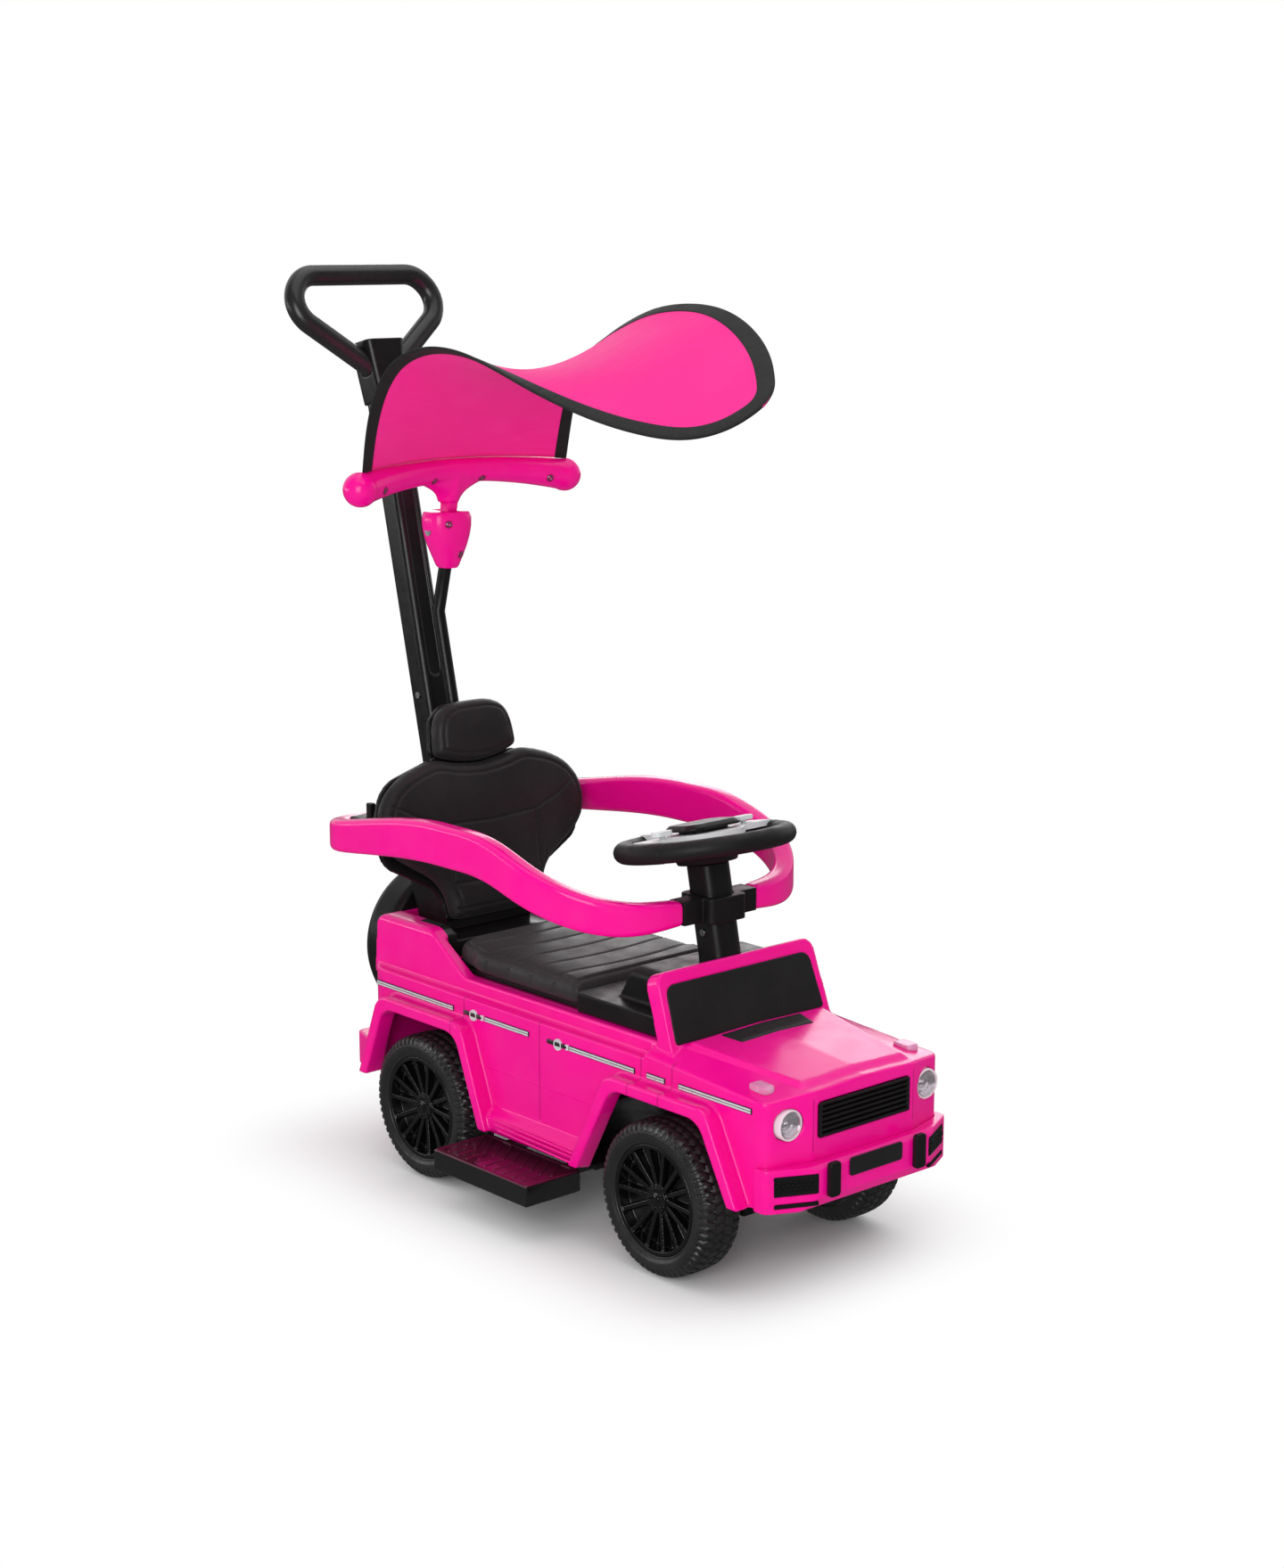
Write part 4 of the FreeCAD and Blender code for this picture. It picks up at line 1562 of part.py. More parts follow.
def all_parts():
    body_cut = body_filled()
    rim_solid = steering_rim()
    turn_left = turn_lamp(body_cut)
    nodes = {
        "body_shell": body_shell(),
        "front_bumper": front_bumper(body_cut),
        "rear_bumper": rear_bumper(body_cut),
        "bumper_inserts": bumper_inserts(),
        "bumper_guards": bumper_guards(),
        "number_plate": number_plate(),
        "windscreen_panel": panel_form(FIT_GAP),
        "bonnet_vent": bonnet_vent(),
        "grille": grille(),
        "headlight_bowls": both_sides(headlight_bowl()),
        "headlight_lenses": both_sides(headlight_lens()),
        "turn_lamp_lenses": both_sides(turn_left),
        "side_trim": side_trim(),
        "chassis_base": chassis_base(),
        "rear_axle": rear_axle(),
        "kingpins": kingpins(),
        "knuckle_right": knuckle(-1),
        "knuckle_left": knuckle(1),
        "tie_rod": tie_rod(),
        "steering_shaft": steering_shaft(),
        "steering_column": steering_column(),
        "dash_console": dash_console(),
        "steering_rim": rim_solid,
        "steering_spokes": steering_spokes(rim_solid),
        "steering_back_cover": steering_back_cover().cut(rim_solid),
        "horn_pad": horn_pad(),
        "music_button_right": music_button(-1),
        "music_button_left": music_button(1),
        "storage_box": storage_box(),
        "seat_base": seat_base(),
        "seat_cushion": seat_cushion(),
        "backrest_shell": backrest_shell(),
        "backrest_cushion": backrest_cushion(),
        "headrest_cushion": headrest_cushion(),
        "guard_arm_right": guard_arm(-1),
        "guard_arm_left": guard_arm(1),
        "guard_collar": guard_collar(),
        "guard_bracket": guard_bracket(),
        "push_pole": push_pole(),
        "pole_socket": pole_socket(),
        "handle_block": handle_block(),
        "handle_loop": handle_loop(),
        "canopy_post": post_solid(POST_R),
        "post_bracket": post_bracket(),
        "joint_housing": joint_housing(),
        "pivot_bolt": pivot_bolt(),
        "canopy_bow": canopy_bow(),
        "canopy_cloth": canopy_cloth(),
        "spare_wheel": spare_wheel(),
        "footrest_right": footrest(-1),
        "footrest_left": footrest(1),
        "screws": screws(),
    }
    for name, axle_x in (("front", FRONT_AXLE_X), ("rear", REAR_AXLE_X)):
        for side_name, side in (("right", -1), ("left", 1)):
            tyre_solid, rim_part = wheel(axle_x, side)
            nodes["tyre_" + name + "_" + side_name] = tyre_solid
            nodes["rim_" + name + "_" + side_name] = rim_part
    return nodes


def main():
    os.makedirs("parts", exist_ok=True)
    low = Vector(1e9, 1e9, 1e9)
    high = Vector(-1e9, -1e9, -1e9)
    for name, shape in all_parts().items():
        shape.translate(Vector(ORIGIN_SHIFT, 0, 0))
        shape.exportStep("parts/" + name + ".step")
        box = shape.BoundBox
        low = Vector(min(low.x, box.XMin), min(low.y, box.YMin), min(low.z, box.ZMin))
        high = Vector(max(high.x, box.XMax), max(high.y, box.YMax), max(high.z, box.ZMax))
        print(name, len(shape.Solids), "solids", "valid" if shape.isValid() else "NOT VALID",
              round(shape.Volume / 1000, 1), "cm3")
    print("size", round(high.x - low.x, 1), round(high.y - low.y, 1), round(high.z - low.z, 1), "middle x",
          round((low.x + high.x) / 2, 2))


main()
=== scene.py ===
import json
import math

import bmesh
import bpy
from mathutils import Matrix, Vector
from mathutils.bvhtree import BVHTree


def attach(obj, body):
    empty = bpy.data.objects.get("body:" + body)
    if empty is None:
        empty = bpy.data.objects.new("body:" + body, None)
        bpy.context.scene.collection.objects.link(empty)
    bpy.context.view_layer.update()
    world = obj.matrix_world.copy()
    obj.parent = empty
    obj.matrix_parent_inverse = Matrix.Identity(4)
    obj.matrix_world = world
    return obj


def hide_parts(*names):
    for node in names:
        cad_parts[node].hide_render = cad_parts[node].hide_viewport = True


# Looks of a ride-on push car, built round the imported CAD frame. Metres, +X forward, +Y left, +Z up.
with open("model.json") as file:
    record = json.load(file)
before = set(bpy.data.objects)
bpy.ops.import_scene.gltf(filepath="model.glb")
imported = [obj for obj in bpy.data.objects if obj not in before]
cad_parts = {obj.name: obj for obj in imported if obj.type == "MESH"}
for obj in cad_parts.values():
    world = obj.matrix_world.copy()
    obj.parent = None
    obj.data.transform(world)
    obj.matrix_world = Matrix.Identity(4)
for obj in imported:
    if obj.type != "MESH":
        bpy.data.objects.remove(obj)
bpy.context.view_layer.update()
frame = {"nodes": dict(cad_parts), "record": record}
NODES = frame["nodes"]
scene = bpy.context.scene
BODY_OF = {node: body for body, members in frame["record"]["behaviour"]["bodies"].items() for node in members}
SIDES = {"right": -1, "left": 1}
ACROSS = Vector((0, 1, 0))
UPWARD = Vector((0, 0, 1))


def srgb(red, green, blue):
    """A colour as it looks on screen, as linear values."""
    out = []
    for value in (red / 255, green / 255, blue / 255):
        out.append(value / 12.92 if value <= 0.04045 else ((value + 0.055) / 1.055) ** 2.4)
    return tuple(out)


# Materials

class Nodes:
    """A node tree, and helpers that add nodes to it."""

    def __init__(self, tree):
        self.tree = tree

    def add(self, kind, **values):
        """New node; each named input takes a value or a socket."""
        node = self.tree.nodes.new("ShaderNode" + kind)
        for name, value in values.items():
            self.feed(node.inputs[name.replace("_", " ")], value)
        return node

    def join(self, source, target):
        self.tree.links.new(source, target)

    def feed(self, socket, value):
        if isinstance(value, bpy.types.NodeSocket):
            self.join(value, socket)
        else:
            socket.default_value = value

    def maths(self, operation, first, second=0.0):
        node = self.add("Math")
        node.operation = operation
        self.feed(node.inputs[0], first)
        self.feed(node.inputs[1], second)
        return node.outputs[0]

    def times(self, *values):
        """Product of sockets and numbers."""
        out = values[0]
        for value in values[1:]:
            out = self.maths("MULTIPLY", out, value)
        return out

    def apart(self, value, place):
        """How far a value lies from a place."""
        return self.maths("ABSOLUTE", self.maths("SUBTRACT", value, place))

    def ramp(self, value, low, high, to_low=0.0, to_high=1.0):
        node = self.add("MapRange", Value=value, From_Min=low, From_Max=high, To_Min=to_low, To_Max=to_high)
        node.interpolation_type = "SMOOTHSTEP"
        return node.outputs[0]

    def mixed(self, share, first, second):
        """One shader that goes over to another by a share."""
        node = self.add("MixShader")
        for value, socket in zip((share, first, second), node.inputs):
            self.join(value, socket)
        return node.outputs[0]


class Paint(Nodes):
    """A procedural material: one Principled shader, and helpers that add nodes in front of it."""

    def __init__(self, name, colour, rough, **sockets):
        self.mat = bpy.data.materials.new(name)
        self.mat.use_nodes = True
        super().__init__(self.mat.node_tree)
        self.shader = self.tree.nodes["Principled BSDF"]
        self.colour = colour
        self.put("Base Color", (*colour, 1.0))
        self.put("Roughness", rough)
        for key, value in sockets.items():
            self.put(key.replace("_", " "), value)
        coord = self.add("TexCoord")
        self.place = coord.outputs["Object"]
        self.uv = coord.outputs["UV"]
        self.normal = None

    def put(self, socket, value):
        self.shader.inputs[socket].default_value = value

    def scaled(self, stretch, source=None):
        return self.add("Mapping", Vector=source or self.place, Scale=stretch).outputs[0]

    def axes(self, source=None):
        return self.add("SeparateXYZ", Vector=source or self.place).outputs

    def noise(self, scale, detail=3.0, source=None):
        return self.add("TexNoise", Vector=source or self.place, Scale=scale, Detail=detail).outputs[0]

    def cells(self, scale, feature="F1", source=None, spread=1.0):
        node = self.add("TexVoronoi", Vector=source or self.place, Scale=scale, Randomness=spread)
        node.feature = feature
        return node.outputs["Distance"]

    def tint(self, amount, other):
        """Base colour goes to the other colour by amount."""
        node = self.add("Mix")
        node.data_type = "RGBA"
        self.join(amount, node.inputs[0])
        before = self.shader.inputs["Base Color"]
        if before.is_linked:
            self.join(before.links[0].from_socket, node.inputs[6])
        else:
            node.inputs[6].default_value = (*self.colour, 1.0)
        node.inputs[7].default_value = (*other, 1.0)
        self.join(node.outputs[2], before)

    def gloss(self, amount, low, high):
        self.join(self.ramp(amount, 0.3, 0.7, low, high), self.shader.inputs["Roughness"])

    def relief(self, height, depth, strength=1.0):
        node = self.add("Bump", Strength=strength, Distance=depth, Height=height)
        if self.normal is not None:
            self.join(self.normal, node.inputs["Normal"])
        self.normal = node.outputs[0]
        self.join(self.normal, self.shader.inputs["Normal"])


PINK = srgb(238, 6, 142)
PINK_DEEP = srgb(214, 0, 124)


def moulded_pink(name):
    """Glossy through-coloured plastic with faint flow marks."""
    paint = Paint(name, PINK, 0.2, Specular_IOR_Level=0.3, Coat_Weight=0.12, Coat_Roughness=0.05)
    flow = paint.noise(7.0, 2.0, paint.scaled((1.0, 1.6, 1.0)))
    paint.tint(paint.ramp(flow, 0.35, 0.75, 0.0, 0.22), PINK_DEEP)
    paint.gloss(paint.noise(38.0, 4.0), 0.16, 0.27)
    paint.relief(paint.noise(55.0, 2.0), 0.0006, 0.12)
    return paint


def satin_black(name, shade=16, low=0.34, high=0.48, grain=0.00012):
    """Dark moulded plastic with an eroded mould grain."""
    paint = Paint(name, srgb(shade, shade, shade + 1), 0.4, Specular_IOR_Level=0.3)
    paint.tint(paint.ramp(paint.noise(11.0), 0.4, 0.75, 0.0, 0.35), srgb(shade + 13, shade + 12, shade + 13))
    paint.gloss(paint.noise(60.0, 5.0), low, high)
    paint.relief(paint.cells(900.0), grain, 0.5)
    paint.relief(paint.noise(45.0, 2.0), 0.0004, 0.08)
    return paint


plain_pink = moulded_pink("pink_moulding")


def panelled_pink():
    """The body's pink with the shut lines of the doors and wings, bumped in and darkened by painted shade,
    and the crease along the doors.
    """
    paint = moulded_pink("pink_body")
    x, y, z = paint.axes()
    out = paint.maths("ABSOLUTE", y)
    beside = paint.ramp(out, 0.117, 0.119)
    ahead = paint.ramp(x, 0.395, 0.398)
    lines = []
    for place, low, high in ((-0.078, 0.112, 0.236), (0.052, 0.110, 0.236), (0.215, 0.172, 0.236),
                             (0.262, 0.150, 0.228)):
        line = paint.ramp(paint.apart(x, place), 0.0011, 0.0004)
        lines.append(paint.times(line, paint.ramp(z, low, low + 0.004), paint.ramp(z, high, high - 0.004),
                                 beside))
    line = paint.ramp(paint.apart(out, 0.072), 0.0010, 0.0004)
    lines.append(paint.times(line, paint.ramp(z, 0.158, 0.161), paint.ramp(z, 0.214, 0.211), ahead))
    total = lines[0]
    for line in lines[1:]:
        total = paint.maths("MAXIMUM", total, line)
    # The shut lines are tinted darker pink: painted shade in their grooves.
    paint.tint(paint.times(total, 0.4), srgb(160, 0, 92))
    shelf = paint.times(paint.ramp(x, -0.1452, -0.1458), paint.ramp(x, -0.200, -0.199),
                        paint.ramp(out, 0.0945, 0.0938), paint.ramp(z, 0.244, 0.246))
    paint.tint(shelf, srgb(24, 24, 25))
    paint.relief(paint.maths("SUBTRACT", 1.0, total), 0.0009, 0.9)
    crease = paint.ramp(paint.apart(z, 0.152), 0.0016, 0.0)
    crease = paint.times(crease, paint.ramp(x, -0.040, -0.030), paint.ramp(x, 0.185, 0.175), beside)
    paint.relief(crease, 0.0005, 0.6)
    return paint


body_pink = panelled_pink()
black = satin_black("black_moulding")
soft_black = satin_black("black_grip", 22, 0.46, 0.6, 0.00022)
panel_black = satin_black("dark_panel", 26, 0.38, 0.5, 0.0002)
under_black = satin_black("underside_black", 12, 0.5, 0.62)


def speckled(name, shade, rough, fleck, drift, sheen, **sockets):
    """A paint whose colour goes to the fleck's shade and whose gloss varies, both by fine noise."""
    paint = Paint(name, srgb(*shade), rough, **sockets)
    scale, detail, low, high, most = drift
    paint.tint(paint.ramp(paint.noise(scale, detail), low, high, 0.0, most), srgb(*fleck))
    scale, detail, smooth, dull = sheen
    paint.gloss(paint.noise(scale, detail), smooth, dull)
    return paint


gloss_black = speckled("gloss_black", (8, 8, 9), 0.2, (24, 24, 25), (16, 3, 0.4, 0.8, 0.4),
                       (50, 4, 0.14, 0.24), Specular_IOR_Level=0.6)
tyre_black = speckled("tyre_black", (30, 30, 30), 0.4, (50, 49, 49), (24, 5, 0.35, 0.75, 0.5),
                      (80, 4, 0.24, 0.4), Specular_IOR_Level=0.5)
tyre_black.relief(tyre_black.cells(1100.0), 0.00012, 0.5)
silver = speckled("silver_paint", (206, 209, 211), 0.32, (222, 225, 228), (30, 4, 0.35, 0.75, 0.4),
                  (120, 3, 0.24, 0.38), Metallic=0.15)
pale_grey = speckled("pale_grey", (212, 215, 216), 0.36, (200, 203, 206), (24, 3, 0.4, 0.75, 0.5),
                     (70, 3, 0.3, 0.42), Specular_IOR_Level=0.4)
steel = speckled("plated_steel", (176, 178, 182), 0.3, (140, 141, 146), (60, 5, 0.4, 0.8, 1.0),
                 (200, 3, 0.22, 0.42), Metallic=1.0)
mirror_silver = speckled("reflector_silver", (226, 226, 230), 0.12, (190, 190, 196), (60, 3, 0.35, 0.75, 0.5),
                         (90, 3, 0.08, 0.18), Metallic=1.0)
lens_pale = speckled("lens_pale", (250, 226, 238), 0.1, (255, 244, 250), (120, 3, 0.35, 0.7, 0.6),
                     (80, 3, 0.06, 0.16), Transmission_Weight=0.25, IOR=1.46, Coat_Weight=0.4)
lens_pink = speckled("lens_pink", (250, 150, 200), 0.14, (252, 196, 224), (140, 3, 0.35, 0.7, 0.7),
                     (90, 3, 0.1, 0.22), Transmission_Weight=0.35, IOR=1.46, Subsurface_Weight=0.3)
dark_chrome = speckled("dark_chrome", (84, 76, 80), 0.22, (126, 116, 120), (90, 4, 0.35, 0.75, 1.0),
                       (140, 3, 0.16, 0.32), Metallic=0.85)
# Darker pink for the rings round the screws: painted shade of their wells.
pink_painted_shade = speckled("pink_well_painted_shade", (168, 0, 98), 0.35, (140, 0, 80), (200, 3, 0.35, 0.7, 1.0),
                      (120, 3, 0.3, 0.45))

lens_clear = Paint("lens_clear", srgb(246, 240, 244), 0.04, Transmission_Weight=0.92, IOR=1.46)
lens_clear.gloss(lens_clear.noise(70.0), 0.02, 0.07)
lens_clear.relief(lens_clear.noise(160.0, 1.0), 0.0003, 0.12)

tread_black_painted_reflection = satin_black("tread_black_painted_reflection", 20, 0.1, 0.17, 0.00002)
tread_black_painted_reflection.put("Specular IOR Level", 0.7)
# The top face of the step is tinted plum: a painted reflection of the pink body in the glossy black.
tread_black_painted_reflection.tint(tread_black_painted_reflection.ramp(tread_black_painted_reflection.axes()[2], 0.0668, 0.0682, 0.0, 0.55), srgb(104, 18, 58))

pole_black = satin_black("pole_black", 16, 0.26, 0.36, 0.00002)
pole_black.put("Specular IOR Level", 0.4)
handle_black = satin_black("handle_grip", 30, 0.24, 0.34, 0.00003)
handle_black.put("Specular IOR Level", 0.55)

grip_black = satin_black("perforated_grip", 30, 0.5, 0.62, 0.0002)
dots = grip_black.cells(1.0, "F1", grip_black.scaled((190.0, 190.0, 1.0), grip_black.uv), 0.0)
holes = grip_black.ramp(dots, 0.22, 0.32)
grip_black.relief(holes, 0.0008, 0.9)
# Inside the holes the grip goes near black: painted shade in the holes, which the bump cuts.
grip_black.tint(grip_black.times(grip_black.maths("SUBTRACT", 1.0, holes), 0.85), srgb(8, 8, 8))


def leatherette(name, shade):
    """Grained synthetic leather: pebbled cells, fine creases and a soft sheen on the crowns."""
    paint = Paint(name, srgb(shade, shade - 1, shade), 0.46, Specular_IOR_Level=0.24, Sheen_Weight=0.05,
                  Sheen_Roughness=0.4)
    pebble = paint.cells(620.0, "SMOOTH_F1")
    paint.tint(paint.ramp(paint.noise(14.0, 4.0), 0.35, 0.75, 0.0, 0.45),
               srgb(shade + 16, shade + 14, shade + 15))
    paint.gloss(paint.noise(40.0, 5.0), 0.4, 0.54)
    paint.relief(pebble, 0.00035, 0.5)
    paint.relief(paint.noise(120.0, 5.0), 0.0005, 0.2)
    return paint


seat_leather = leatherette("seat_leatherette", 44)
back_leather = leatherette("back_leatherette", 32)
thread = Paint("sewing_thread", srgb(20, 19, 19), 0.6)
thread.relief(thread.cells(3000.0), 0.0001, 0.6)
thread.tint(thread.ramp(thread.noise(500.0), 0.3, 0.7), srgb(34, 32, 32))


def woven(name, colour, other, pitch):
    """Close woven cloth; the UV map is in metres along and across the threads."""
    paint = Paint(name, colour, 0.68, Specular_IOR_Level=0.15, Sheen_Weight=0.04, Sheen_Roughness=0.5)
    across = paint.axes(paint.uv)
    weave = paint.times(*(paint.maths("SINE", paint.times(across[k], 2 * math.pi / pitch)) for k in (0, 1)))
    slub = paint.noise(260.0, 3.0, paint.scaled((1.0, 0.12, 1.0), paint.uv))
    paint.tint(paint.ramp(slub, 0.35, 0.75, 0.0, 0.4), other)
    paint.tint(paint.ramp(paint.noise(9.0, 2.0), 0.4, 0.7, 0.0, 0.25), other)
    paint.gloss(slub, 0.54, 0.72)
    paint.relief(weave, 0.00018, 0.6)
    paint.relief(paint.noise(30.0, 3.0), 0.001, 0.1)
    return paint


canopy_pink = woven("canopy_fabric", srgb(243, 30, 141), srgb(247, 58, 153), 0.0011)
binding_black = woven("binding_fabric", srgb(30, 30, 31), srgb(44, 44, 46), 0.0009)


# Mesh helpers

def coated(mesh, *paints):
    mesh.materials.clear()
    for paint in paints:
        mesh.materials.append(paint.mat)


def linked(name, data):
    """New object in the scene."""
    piece = bpy.data.objects.new(name, data)
    scene.collection.objects.link(piece)
    return piece


def add_object(name, mesh, paints, body):
    """New piece in the part's frame that rides on a body."""
    coated(mesh, *paints)
    piece = linked(name, mesh)
    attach(piece, body)
    return piece


def finished(maker, name, smooth=True):
    """Mesh from a bmesh, with smooth faces."""
    mesh = bpy.data.meshes.new(name)
    bmesh.ops.recalc_face_normals(maker, faces=maker.faces)
    maker.to_mesh(mesh)
    maker.free()
    if smooth:
        mesh.shade_smooth()
    return mesh


def built(name, maker, paint, body, smooth=True):
    """New piece from a bmesh, in one material."""
    return add_object(name, finished(maker, name, smooth), [paint], body)


def settled(piece):
    """Applies a piece's modifiers to its mesh."""
    graph = bpy.context.evaluated_depsgraph_get()
    mesh = bpy.data.meshes.new_from_object(piece.evaluated_get(graph))
    old = piece.data
    piece.modifiers.clear()
    piece.data = mesh
    bpy.data.meshes.remove(old)
    return mesh


def welded(node):
    maker = bmesh.new()
    maker.from_mesh(NODES[node].data)
    bmesh.ops.remove_doubles(maker, verts=maker.verts, dist=2e-5)
    return maker


def evened(piece, voxel):
    """Gives a piece an even mesh of small faces."""
    remesh = piece.modifiers.new("even", "REMESH")
    remesh.mode = "VOXEL"
    remesh.voxel_size = voxel
    return remesh


def dressed(node, paint, voxel, passes, keep, more=None):
    """A CAD node with the soft edges of a moulding: fine even mesh, smoothed, standing for the node."""
    maker = welded(node)
    if more:
        more(maker)
    piece = linked(node + "_form", finished(maker, node + "_form"))
    evened(piece, voxel).use_smooth_shade = True
    smooth = piece.modifiers.new("soft", "SMOOTH")
    smooth.factor = 0.5
    smooth.iterations = passes
    fewer = piece.modifiers.new("fewer", "DECIMATE")
    fewer.ratio = keep
    mesh = settled(piece)
    mesh.shade_smooth()
    coated(mesh, paint)
    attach(piece, BODY_OF[node])
    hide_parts(node)
    return piece


FLAT_ANGLE = math.radians(0.8)
SHARP_ANGLE = math.radians(32)


def bevelled(node, paint, width, segments):
    """A CAD node with narrow round edges, standing for the node."""
    maker = welded(node)
    bmesh.ops.dissolve_limit(maker, angle_limit=FLAT_ANGLE, verts=maker.verts, edges=maker.edges)
    sharp = [e for e in maker.edges if e.is_manifold and e.calc_face_angle(0) > SHARP_ANGLE]
    bmesh.ops.bevel(maker, geom=sharp, offset=width, offset_type="OFFSET", segments=segments, profile=0.5,
                    affect="EDGES", clamp_overlap=True)
    piece = built(node + "_form", maker, paint, BODY_OF[node])
    weighted = piece.modifiers.new("weighted", "WEIGHTED_NORMAL")
    weighted.keep_sharp = False
    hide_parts(node)
    return piece


def skinned(maker, rings, capped=True):
    """Faces between closed rings of points, and over both ends."""
    size = len(rings[0])
    for first, second in zip(rings, rings[1:]):
        for k in range(size):
            after = (k + 1) % size
            maker.faces.new((first[k], first[after], second[after], second[k]))
    if capped:
        maker.faces.new(rings[0])
        maker.faces.new(rings[-1])


def gridded(maker, grid):
    """Faces over an open grid of points."""
    for here, after in zip(grid, grid[1:]):
        for k in range(len(here) - 1):
            maker.faces.new((here[k], here[k + 1], after[k + 1], after[k]))


def circle(count):
    """Cosine and sine of evenly spaced angles."""
    angles = [2 * math.pi * index / count for index in range(count)]
    return [(math.cos(angle), math.sin(angle)) for angle in angles]


def lathe(maker, profile, steps, matrix):
    """Turns a profile of (radius, along) in millimetres about the local Z axis and places it by matrix."""
    rings = []
    for c, s in circle(steps):
        spots = [Vector((radius * c, radius * s, along)) * 0.001 for radius, along in profile]
        rings.append([maker.verts.new(matrix @ spot) for spot in spots])
    for here, after in zip(rings, rings[1:] + rings[:1]):
        for row in range(len(profile) - 1):
            corners = (here[row], after[row], after[row + 1], here[row + 1])
            if profile[row][0] == 0:
                corners = (here[row], after[row + 1], here[row + 1])
            elif profile[row + 1][0] == 0:
                corners = (here[row], after[row], here[row + 1])
            maker.faces.new(corners)
    bmesh.ops.remove_doubles(maker, verts=maker.verts, dist=1e-6)


def capsule_row(maker, start, end, half_width, lift, outward):
    """A low rounded rib from start to end that stands out of a face along outward."""
    along = (end - start).normalized()
    across = outward.cross(along).normalized()
    steps, sunk = 8, 0.0004
    rows = []
    for share, grow in ((0.0, 0.15), (0.015, 0.8), (0.04, 1.0), (0.96, 1.0), (0.985, 0.8), (1.0, 0.15)):
        middle = start.lerp(end, share)
        row = []
        for step in range(steps + 1):
            angle = math.pi * step / steps
            spot = middle + across * (half_width * grow * math.cos(angle))
            row.append(maker.verts.new(spot + outward * (lift * grow * math.sin(angle) - sunk)))
        rows.append(row)
    skinned(maker, rows)


# Wheels

WHEEL_R = 0.0825
WHEEL_PLACES = {"front_right": (0.253, -1), "front_left": (0.253, 1), "rear_right": (-0.139, -1),
                "rear_left": (-0.139, 1)}
WHEEL_Y = 0.1195


def tyre_mesh():
    """Tyre about +Y with a centre groove, two rows of tread bars a side and shoulder lugs."""
    half = [(0.0, 80.3, "groove"), (1.3, 80.3, "groove"), (1.8, 82.4, "inner"), (6.0, 82.4, "inner"),
            (10.2, 82.2, "inner"), (10.7, 80.8, "groove"), (12.0, 80.7, "groove"), (12.5, 82.0, "outer"),
            (16.0, 81.7, "outer"), (19.5, 81.0, "outer"), (21.6, 80.0, "lug"), (23.4, 78.4, "lug"),
            (24.8, 76.0, "lug"), (25.6, 73.6, "lug"), (25.9, 72.6, "wall"), (26.5, 70.8, "wall"),
            (26.8, 68.4, "wall"), (26.5, 65.6, "wall"), (25.6, 63.4, "wall"), (24.6, 62.2, "wall"),
            (24.1, 61.2, "wall"), (24.5, 60.2, "wall"), (24.1, 59.2, "wall"), (22.6, 58.7, "wall"),
            (18.0, 58.6, "wall")]
    rows = [(-w, r, zone) for w, r, zone in reversed(half[1:])] + half
    columns, bar_pitch, lug_pitch = 720, 15, 12
    cut_of = {"inner": 2.4, "outer": 3.2, "lug": 2.6}
    bar_slant, lug_lean = 0.45, 0.45
    maker = bmesh.new()
    grid = []
    for column, (c, s) in enumerate(circle(columns)):
        line = []
        for w, r, zone in rows:
            side = 1 if w > 0 else -1
            slant = int(abs(w) * bar_slant)
            shift = 7 if side > 0 else 0
            gap = zone == "inner" and (column + slant + shift) % bar_pitch < 3
            gap = gap or zone == "outer" and (column + 4 - slant + shift) % bar_pitch < 5
            gap = gap or zone == "lug" and column % lug_pitch < 5
            cut = cut_of[zone] if gap else 0.0
            along = w - side * cut * (lug_lean if zone == "lug" else 0.0)
            spot = Vector((s * (r - cut), along, c * (r - cut)))
            line.append(maker.verts.new(spot * 0.001))
        grid.append(line)
    skinned(maker, grid + grid[:1], False)
    return finished(maker, "tyre_tread")


def hub_mesh():
    """Hub cap and five wheel bolts about +Y, for the outer face of a rim."""
    maker = bmesh.new()
    turn = Matrix.Rotation(math.radians(-90), 4, "X")
    cap = [(0, 21.8), (3, 21.6), (4.8, 20.8), (5.4, 20), (6.8, 20.2), (7.4, 19.6), (7.4, 18)]
    lathe(maker, cap, 40, turn)
    for c, s in circle(5):
        place = turn @ Matrix.Translation((0.0105 * c, 0.0105 * s, 0.0))
        lathe(maker, [(0, 22.2), (1.2, 22.2), (1.9, 21.6), (1.9, 19.5)], 6, place)
        lathe(maker, [(2.6, 19.5), (2.8, 20.3), (3.2, 20.3), (3.4, 19.5)], 20, place)
    return finished(maker, "hub_cap")


tread, hub = tyre_mesh(), hub_mesh()
coated(tread, tyre_black)
coated(hub, gloss_black)
for corner, (x, side) in WHEEL_PLACES.items():
    place = Matrix.Translation((x, side * WHEEL_Y, WHEEL_R))
    if side < 0:
        place = place @ Matrix.Rotation(math.pi, 4, "Z")
    tyre = linked("tyre_" + corner + "_tread", tread)
    cap = linked("hub_cap_" + corner, hub)
    for piece in (tyre, cap):
        piece.matrix_world = place
        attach(piece, "wheel_" + corner)
    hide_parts("tyre_" + corner)
    dressed("rim_" + corner, gloss_black, 0.0008, 4, 0.35)


# Body and its trim

body_form = dressed("body_shell", body_pink, 0.0017, 7, 0.45)


def eased(value, low, high):
    share = min(1.0, max(0.0, (value - low) / (high - low)))
    return share * share * (3 - 2 * share)


